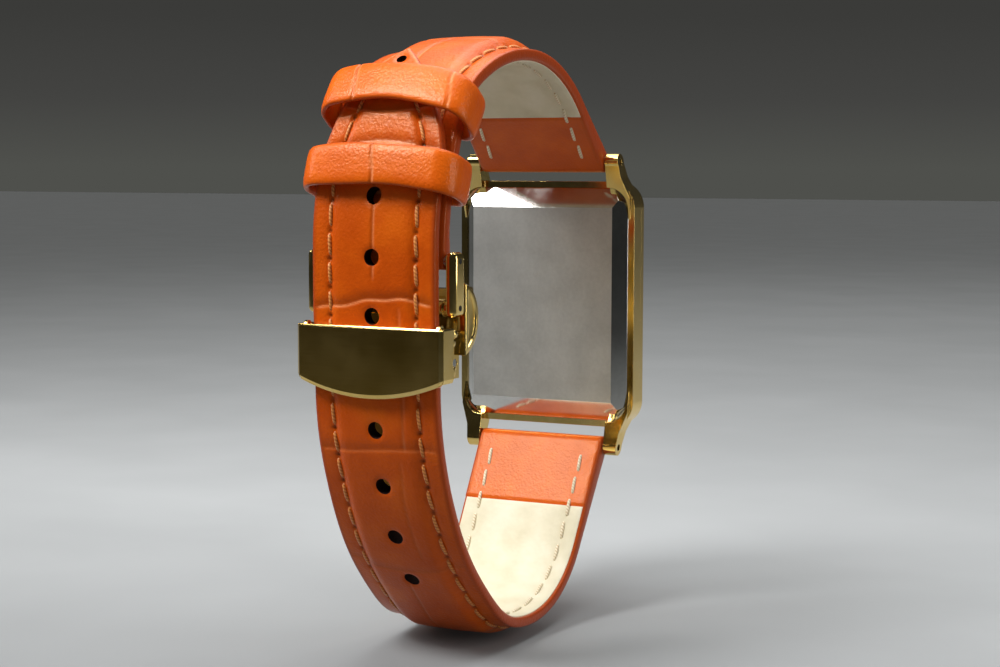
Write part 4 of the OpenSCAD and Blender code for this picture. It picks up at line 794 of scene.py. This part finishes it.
def punched(rows, cols, n, gone, pairs):
    """Quads of the skin without those in the holes, and the quads of the holes' walls.

    A row is a loop of cols points outside, n at an edge, cols inside and n at the other edge,
    so column c lies opposite place 2 cols + n - 1 - c of the loop.
    """
    per, back = 2 * (cols + n), 2 * cols + n - 1
    cut = np.zeros((rows - 1, per), bool)
    r, c = gone
    cut[r, c] = True
    cut[r, back - 1 - c] = True
    (ar, ac), (br, bc) = (np.divmod(k, cols) for k in pairs)
    walls = np.stack([ar * per + ac, br * per + bc, br * per + back - bc, ar * per + back - ac],
                     -1)
    return quads_of(rows, per)[~cut.ravel()], walls


def strap_skin(route, name, body, node):
    """The whole leather of one strap half as a closed skin."""
    s = strap_rows(route)
    u = dense(-1, 1, 0.040, [(0, 0.16, 0.018), (-STITCH_U, 0.08, 0.02), (STITCH_U, 0.08, 0.02)])
    w = half_width(route, s)
    round_by = np.minimum(EDGE_ROUND, w * 0.5)
    S, U = np.meshgrid(s, u, indexing="ij")
    W = np.broadcast_to(w[:, None], S.shape)
    S, X, gone, pairs = open_holes(S, U * (W - round_by[:, None]), route["holes"])
    top, dark, glint = outer_height(route, S, X, W)
    top, low = eye_limits(route, S, top, inner_height(route, S, X, W))
    rows, cols = S.shape
    phi = np.linspace(0, np.pi, 9)[1:-1]
    n = len(phi)
    bulge, reach = np.sin(phi) ** 0.55, np.sign(np.cos(phi)) * np.abs(np.cos(phi)) ** 0.75
    edges = []
    for j, way in ((cols - 1, 1), (0, -1)):
        middle, half = (top[:, j] + low[:, j]) / 2, (top[:, j] - low[:, j]) / 2
        edges.append(on_strap(route, np.broadcast_to(S[:, j, None], (rows, n)),
                              X[:, j, None] + way * round_by[:, None] * bulge,
                              middle[:, None] + half[:, None] * reach))
    # Loop of one row: outer left to right, right edge, inner right to left, left edge
    ring = np.concatenate([on_strap(route, S, X, top), edges[0],
                           on_strap(route, S, X, low)[:, ::-1], edges[1][:, ::-1]], 1)
    faces, walls = punched(rows, cols, n, gone, pairs)
    inset = W - np.abs(X) - EDGE_ROUND
    bare, painted = np.zeros((rows, n)), np.ones((rows, n))
    # Painted shade and painted highlights on the grain side only; paint on the edges
    values = {
        "crease": np.concatenate([dark, bare, dark * 0, bare], 1).ravel(),
        "glint": np.concatenate([glint, bare, glint * 0, bare], 1).ravel(),
        "paint": np.concatenate([ease((0.25 - inset) / 0.25) * 0.5, painted,
                                 ease((0.2 - inset) / 0.2) * 0.5, painted], 1).ravel()}
    piece = make_piece(name, ring.reshape(-1, 3), np.concatenate([faces, walls]),
                       [calf, hole_wall_shade], values, sharp=50,
                       pick=np.repeat([0, 1], [len(faces), len(walls)]))
    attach(piece, body)
    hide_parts(node)


strap_skin(UPPER, "strap_leather_upper", "upper_strap", "strap_short")
strap_skin(LOWER, "strap_leather_lower", "lower_strap", "strap_long")

# %% [markdown]
# ## The lining
# Thin leather glued to the wrist side, from where the outer leather is turned in behind the
# spring bar. It is a slab that sinks into its seat, with the same holes punched through.

# %% Lining slabs
def lining_slab(route, name, body, node):
    """A slab from 0.04 mm proud of the wrist side to 0.34 mm inside the leather."""
    lo, hi = 9.3, route["length"] - route["lining_end"]
    s = dense(lo, hi, 0.6, [(c, 1.3, 0.2) for c in route["holes"]]
              + [(lo, 0.4, 0.12), (hi, 0.8, 0.1)])
    u = dense(-1, 1, 0.06, [(0, 0.16, 0.025), (-STITCH_U, 0.06, 0.03), (STITCH_U, 0.06, 0.03),
                            (-1, 0.03, 0.012), (1, 0.03, 0.012)])
    S, U = np.meshgrid(s, u, indexing="ij")
    W = np.broadcast_to(half_width(route, s)[:, None], S.shape)
    S, X, gone, pairs = open_holes(S, U * np.maximum(W - EDGE_ROUND, 0.02), route["holes"],
                                   0.04)
    inset = np.minimum(np.abs(W - EDGE_ROUND - np.abs(X)), np.minimum(S - lo, hi - S))
    groove = 0.10 * np.exp(-((W - np.abs(X) - STITCH_IN) / 0.4) ** 2)
    under = -0.04 * ease(inset / 0.35) + groove + 0.05 * (1 - ease(inset / 0.25))
    over = np.full(S.shape, 0.34)
    ring = np.concatenate([on_strap(route, S, X, over), on_strap(route, S, X, under)[:, ::-1]],
                          1)
    faces, walls = punched(*S.shape, 0, gone, pairs)
    caps = end_caps(*ring.shape[:2])
    piece = make_piece(name, ring.reshape(-1, 3), np.concatenate([faces, walls, caps]),
                       [lining_calf, hole_wall_shade], sharp=50,
                       pick=np.repeat([0, 1, 0], [len(faces), len(walls), len(caps)]))
    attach(piece, body)
    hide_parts(node)


lining_slab(UPPER, "lining_upper", "upper_strap", "lining_short")
lining_slab(LOWER, "lining_lower", "lower_strap", "lining_long")

# %% [markdown]
# ## Stitches
# A saddle stitch lies on the leather for about 2.5 mm and dives into the next needle hole. One
# stitch is a ring of points carried over a low arch, thick in the middle and pinched at its
# ends. All stitches of a seam are made in one array, with one more axis for their number.

# %% Thread on both sides of the straps
def seam(route, name, body, finish, grain_side):
    """Stitches: rings of radius 0.22 (1 - 0.45 v^6) over an arch of height (1 - v^6)."""
    mids = np.tile(stitch_line(route), 2)
    way = np.repeat([1.0, -1.0], len(mids) // 2)
    if route is LOWER:
        wide = half_width(route, mids) > STITCH_IN + 1.1
        mids, way = mids[wide], way[wide]
    v = np.array([-1.0, -0.93, -0.75, -0.3, 0.3, 0.75, 0.93, 1.0])
    a = np.arange(7) / 7 * 2 * np.pi
    s = mids[:, None] + HALF_STITCH * v
    w = half_width(route, s)
    lean = 0.10 if grain_side else -0.10
    x = way[:, None] * (w - STITCH_IN) + lean * v
    if grain_side:
        flat = outer_height(route, mids[:, None] + 0 * v, x, w)[0]
        base = flat + 0.12 * (1 - v ** 6) - 0.24 * v ** 6
    else:
        base = -0.02 - 0.06 * (1 - v ** 6) + 0.22 * v ** 6
    radius = 0.22 * (1 - 0.45 * v ** 6) * (np.abs(v) < 1)
    S = s[..., None] + 0 * a
    X = x[..., None] + radius[:, None] * np.cos(a)
    D = base[..., None] + 0.85 * radius[:, None] * np.sin(a)
    points = on_strap(route, S, X, D)
    count, rings, sides = S.shape
    faces = (np.arange(count)[:, None, None] * rings * sides
             + quads_of(rings, sides)).reshape(-1, 4)
    # The UV map counts millimetres along the thread and round it
    uv = np.stack(np.broadcast_arrays(v[:, None] * HALF_STITCH + 0 * a,
                                      a / (2 * np.pi) * 1.9), -1)
    uv = np.broadcast_to(uv, (count, rings, sides, 2)).reshape(-1, 2)
    piece = make_piece(name, points.reshape(-1, 3), faces, [finish], uv=uv, sharp=80)
    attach(piece, body)


seam(UPPER, "thread_upper_front", "upper_strap", tan_thread, True)
seam(LOWER, "thread_lower_front", "lower_strap", tan_thread, True)
seam(UPPER, "thread_upper_back", "upper_strap", cream_thread, False)
seam(LOWER, "thread_lower_back", "lower_strap", cream_thread, False)

# %% [markdown]
# ## Keepers
# Each keeper is a strip of the same leather, folded into a loop round both straps, with
# rounded, painted rims. Its section, a soft-cornered oblong, is carried round a rounded
# rectangle whose front bows out a little, because leather springs back.

# %% Leather loops
def loop_path(hx, count=440):
    """Middle of the loop's wall: a rounded rectangle as a route, with its outward normals."""
    half_depth, r, height = 2.75, 2.1, 1.75
    loop = {"start": (r - hx, half_depth, 0.0),
            "moves": [(2 * (hx - r), 0), (r, -90), (2 * (half_depth - r), 0), (r, -90)] * 2}
    x, d, heading = follow(loop, np.linspace(0, route_length(loop), count, endpoint=False))
    return x, d + height, heading + np.pi / 2


def keeper(name, body, node, centre, lean, grooves, size, skew, curl, aside=0.0):
    """The loop: |w/wide|^4 + |r/0.5|^2.4 = 1 carried round it, bowed in front, grooved.

    Skew and curl say how far its rims have slid and arched at 8 mm from the middle.
    """
    half, wide = size
    x, d, angle = loop_path(half)
    a = np.linspace(0, 2 * np.pi, 44, endpoint=False)
    w = wide * np.sign(np.cos(a)) * np.abs(np.cos(a)) ** 0.5
    thick = 0.5 * np.sign(np.sin(a)) * np.abs(np.sin(a)) ** 0.83
    X = x[:, None] + thick * np.cos(angle)[:, None]
    D = d[:, None] + thick * np.sin(angle)[:, None]
    Wd = np.broadcast_to(w, X.shape).copy()
    front = ease((D - 2.6) / 1.2)
    D = D + 0.85 * front * (1 - np.clip(np.abs(X) / half, 0, 1) ** 2)
    outside = (thick > 0) & (front.max(1, keepdims=True) > 0.5)
    deep, glint = np.zeros(X.shape), np.zeros(X.shape)
    for at, depth in grooves:
        gap = X - at - 0.25 * np.sin(Wd * 0.9)
        deep += depth * np.exp(-(gap / 0.2) ** 2) * outside
        # A painted highlight along each groove's shoulder
        glint += 0.5 * np.exp(-((gap + 0.22) / 0.13) ** 2) * outside * (np.abs(Wd) < wide - 0.15)
    D = D - deep
    painted = ease((np.abs(Wd) - wide + 0.23) / 0.18) * 0.6
    Wd = Wd * (1 + 0.03 * np.sin(X * 0.55 + lean) * front)
    share = X / 8
    Wd = Wd + skew * share - curl * share ** 2
    lean = np.radians(lean)
    points = np.stack([X + aside, centre[0] + D * np.cos(lean) - Wd * np.sin(lean),
                       centre[1] + D * np.sin(lean) + Wd * np.cos(lean)], -1)
    # Painted shade in the grooves, painted highlights, and the rims' own paint
    values = {"crease": (deep / 0.12 * 0.35).ravel(), "glint": np.clip(glint, 0, 1).ravel(),
              "paint": painted.ravel()}
    piece = make_piece(name, points.reshape(-1, 3), quads_of(*X.shape, wrap_rows=True),
                       [keeper_calf_painted_lighter], values, sharp=60)
    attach(piece, body)
    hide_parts(node)


# The sliding loop sits 36 degrees round the bend of the strap, whose radius is 10 mm
shoulder, bend_r, slide_lean = np.array([28.8816, 18.8147]), 10, 36.0
slide_mid = shoulder + bend_r * np.array([np.cos(np.radians(slide_lean)),
                                          np.sin(np.radians(slide_lean))])
keeper("keeper_loop_sliding", "keeper_body", "keeper_sliding", slide_mid, slide_lean,
       [(4.7, 0.12), (-7.4, 0.07)], (9.2, 2.55), 0.45, 0.8, -0.4)
# The fixed loop sits 0.7 mm past the upper strap's fifth move
fixed_s = route_length({"moves": UPPER["moves"][:5]}) + 0.7
fy, fz, fh = follow(UPPER, np.array([fixed_s]))
keeper("keeper_loop_fixed", "upper_strap", "keeper_fixed", (float(fy[0]), float(fz[0])),
       float(np.degrees(fh[0])) + 90, [(-0.05, 0.12)], (9.5, 2.4), 0.25, 0.3)

# %% [markdown]
# ## The clasp's cover plate
# A stamped plate, folded down at both sides. Its face is brushed from side to side, and a
# polished bevel a little under half a millimetre wide runs round it. Its section is a C,
# carried from the arched bottom edge to the straight top edge: every level is a share of the
# way between the two.

# %% Cover plate
COVER_TOP, COVER_H, BULGE, HALF = 0.4859, 6.1, 2.0, 9.35
ARC = (HALF ** 2 + BULGE ** 2) / (2 * BULGE)
FACE_Y, BACK_Y, WING_Y, WING_T = 46.5163, 45.3663, 43.67, 0.6
BEVEL, BEVEL_DROP, FACET = 0.45, 0.30, 0.42


def cover_section():
    """Outer and inner outline of the C, point for point, and the columns of its face."""
    corner = np.linspace(0, FACET, 9)[1:-1]
    side = np.linspace(WING_Y, FACE_Y - FACET, 8)
    face = np.linspace(-(HALF - FACET), HALF - FACET, 60)
    left_x = np.concatenate([np.full(8, -HALF), -HALF + corner])
    left_y = np.concatenate([side, FACE_Y - FACET + corner])
    ox = np.concatenate([left_x, face, -left_x[::-1]])
    oy = np.concatenate([left_y, FACE_Y + 0.10 * (1 - (face / (HALF - FACET)) ** 2),
                         left_y[::-1]])
    ix = np.clip(ox, -(HALF - WING_T), HALF - WING_T)
    iy = np.minimum(oy, BACK_Y)
    return ox, oy, ix, iy, (len(left_x), len(left_x) + len(face) - 1)


def cover_plate():
    """Levels by distance from the two edges: the bevel drops the outside 0.30 over 0.45 mm."""
    ox, oy, ix, iy, face_cols = cover_section()
    bottom = COVER_TOP - COVER_H - BULGE + ARC - np.sqrt(ARC ** 2 - ox ** 2)
    depth = np.array([0, 0.06, BEVEL, BEVEL + 0.03])
    drop = np.array([BEVEL_DROP, BEVEL_DROP - 0.02, 0.0, 0.0])
    low_z = bottom + depth[:, None]
    # The top bevel is narrower and shallower, and the sides' are shallower too
    high_z = (COVER_TOP - 0.45 * depth[::-1])[:, None] + 0 * ox
    share = np.linspace(0, 1, 14)[1:-1, None]
    z = np.concatenate([low_z, low_z[-1] + (high_z[0] - low_z[-1]) * share, high_z])
    fall = np.concatenate([drop, 0 * share[:, 0], 0.65 * drop[::-1]])[:, None]
    fall = fall * np.where(np.abs(ox) > HALF - 0.05, 0.55, 1.0)
    nx, ny = np.gradient(oy), -np.gradient(ox)
    size = np.hypot(nx, ny)
    # The back edge of each side wall curves in between its two ears
    notch = 0.7 * np.exp(-((z + 2.6) / 0.9) ** 2) * np.clip((45.2 - oy) / 1.5, 0, 1)
    outer = np.stack([ox + nx / size * fall, oy + ny / size * fall + notch, z], -1)
    # The top edge is cut back behind, so that it clears the leather as the plate opens
    relief = 1.75 * np.clip(z - 0.2, 0, None) * (oy > BACK_Y)
    inner = np.stack([ix + 0 * z, iy + notch + relief, z], -1)
    ring = np.concatenate([outer, inner[:, ::-1]], 1)
    rows, per = ring.shape[:2]
    pick = np.ones((rows - 1, per), int)
    pick[len(drop) - 1:-len(drop) + 1, slice(*face_cols)] = 0
    caps = end_caps(rows, per)
    return make_piece("cover_plate", ring.reshape(-1, 3),
                      np.concatenate([quads_of(rows, per), caps]), [gold_brushed, gold_polished],
                      sharp=22, pick=np.append(pick, np.ones(len(caps), int)))


plate = cover_plate()
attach(plate, "cover_body")
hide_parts("clasp_cover")

# %% [markdown]
# ## Side bars, buttons and painted pin-hole shade
# The small clasp pieces are filed and polished by hand, so each face meets the next in a
# bevel. Each is a stack of rings of the same outline, drawn in a little where the bevel is,
# and closed by a point in the middle of its two ends. One side is worked out, and the sign of
# X makes the other.

# %% Stacks of rings
def stack(rings):
    """Points and quads of a closed skin: rings joined in turn, a middle point at each end."""
    rings = np.asarray(rings)
    ends = np.repeat(rings[[0, -1]].mean(1, keepdims=True), rings.shape[1], 1)
    points = np.concatenate([ends[:1], rings, ends[1:]])
    return points.reshape(-1, 3), quads_of(*points.shape[:2])


def joined(stacks):
    """Several closed skins as one list of points and one of quads."""
    counts = np.cumsum([0] + [len(points) for points, _ in stacks])
    return (np.concatenate([points for points, _ in stacks]),
            np.concatenate([faces + n for n, (_, faces) in zip(counts, stacks)]))


sweep = np.linspace(0, 2 * np.pi, 32, endpoint=False)
round_y, round_z = np.cos(sweep), np.sin(sweep)


def disc_along_x(x, y, z, radius):
    """A ring of a radius about a line along X through y, z."""
    return np.stack([x + 0 * sweep, y + radius * round_y, z + radius * round_z], -1)


# %% Side bars with their rivet
BAR_X, BAR_Y, BAR_Z, BAR_HALF, BAR_R = 8.86, 42.4963, 5.1859, 3.6, 0.7
STRAP_BAR_Z, RIVET_Z, RIVET_R = 7.7859, 2.5859, 0.7


def side_bar(side):
    """An oblong with round ends in X and Z, carried along Y, its front a little domed."""
    levels = [(-0.95, 0.12), (-0.83, 0.0), (0.80, 0.0), (0.90, 0.06), (0.94, 0.14), (1.0, 0.3),
              (1.05, 0.5), (1.06, 0.66)]
    return stack([np.stack([side * BAR_X + (BAR_R - b) * round_y, BAR_Y + y + 0 * sweep,
                            BAR_Z + (BAR_HALF - BAR_R) * np.sign(round_z)
                            + (BAR_R - b) * round_z], -1) for y, b in levels])


rivet = stack([disc_along_x(x, BAR_Y, RIVET_Z, RIVET_R) for x in (-8.6, 8.6)])
piece = make_piece("clasp_side_bars", *joined([side_bar(-1), side_bar(1), rivet]),
                   [gold_polished], sharp=20)
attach(piece, "upper_strap")
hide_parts("clasp_frame")

# %% D-shaped buttons
D_R, D_Y, D_Z, CHORD_Y = 4.13523, 41.8815, 1.2359, 41.0463
SHANK_Y, SHANK_R = 39.7463, 0.55


def d_outline(b):
    """Arc of radius D_R - b about D_Y, D_Z, closed by its chord at CHORD_Y - b."""
    radius, chord = D_R - b, CHORD_Y - b
    half = np.arccos((D_Y - chord) / radius)
    a = np.linspace(-half, half, 40)
    reach = radius * np.sin(half)
    straight = np.linspace(reach, -reach, 12)[1:-1]
    return (np.append(D_Y - radius * np.cos(a), chord + 0 * straight),
            D_Z + np.append(radius * np.sin(a), straight))


def button(side):
    """Rings of the D along X: a bevelled rim 0.5 wide round a face dished by 0.3."""
    levels = [(8.35, 0.1), (8.45, 0.0), (9.35, 0.0), (9.48, 0.10), (9.50, 0.16), (9.50, 0.60),
              (9.28, 0.72), (9.22, 1.25), (9.20, 1.6)]
    face = stack([np.stack(np.broadcast_arrays(side * x, *d_outline(b)), -1)
                  for x, b in levels])
    shank = stack([disc_along_x(side * x, SHANK_Y, D_Z, SHANK_R) for x in (5.1, 8.5)])
    return joined([face, shank])


for side, word in ((-1, "left"), (1, "right")):
    piece = make_piece(f"d_button_{word}", *button(-side), [gold_polished], sharp=20)
    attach(piece, f"button_{word}_body")
    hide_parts(f"push_button_{word}")

# %% Painted pin-hole shade and ears
# The pins end a little below the bar's face; the shade in each hole is painted as a dark dot.
dot_rings = [(9.3, 0.32), (9.572, 0.32), (9.576, 0.24)]
dots = [stack([disc_along_x(side * x, BAR_Y, z, r) for x, r in dot_rings])
        for side in (-1, 1) for z in (STRAP_BAR_Z, RIVET_Z)]
piece = make_piece("side_bar_pin_hole_shade", *joined(dots), [pin_hole_shade], sharp=30)
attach(piece, "upper_strap")
# The cover's walls have two ears, and its pin has domed heads behind them: the X, Y and Z of
# each dome's top, its radius and its rise.
domes = [(9.35, 43.62, -4.4, 0.65, 0.10), (9.34, 43.5, -1.2, 0.42, 0.08),
         (9.45, 43.1, -0.25, 0.50, 0.32)]
ears = [stack([disc_along_x(side * (x - 0.65), y, z, r)]
              + [disc_along_x(side * (x - rise + rise * np.sin(v)), y, z, r * np.cos(v))
                 for v in np.linspace(0, 1.5, 7)])
        for side in (-1, 1) for x, y, z, r, rise in domes]
piece = make_piece("cover_ears", *joined(ears), [gold_polished], sharp=50)
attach(piece, "cover_body")

# %% [markdown]
# ## The CAD box
# The new surfaces stand a little proud of the CAD solids in places. The CAD solids' box,
# found before the new surfaces were made, is printed.

# %% Size of the CAD box
print("CAD box   ", [[round(c / MM, 2) for c in v] for v in cad_box])
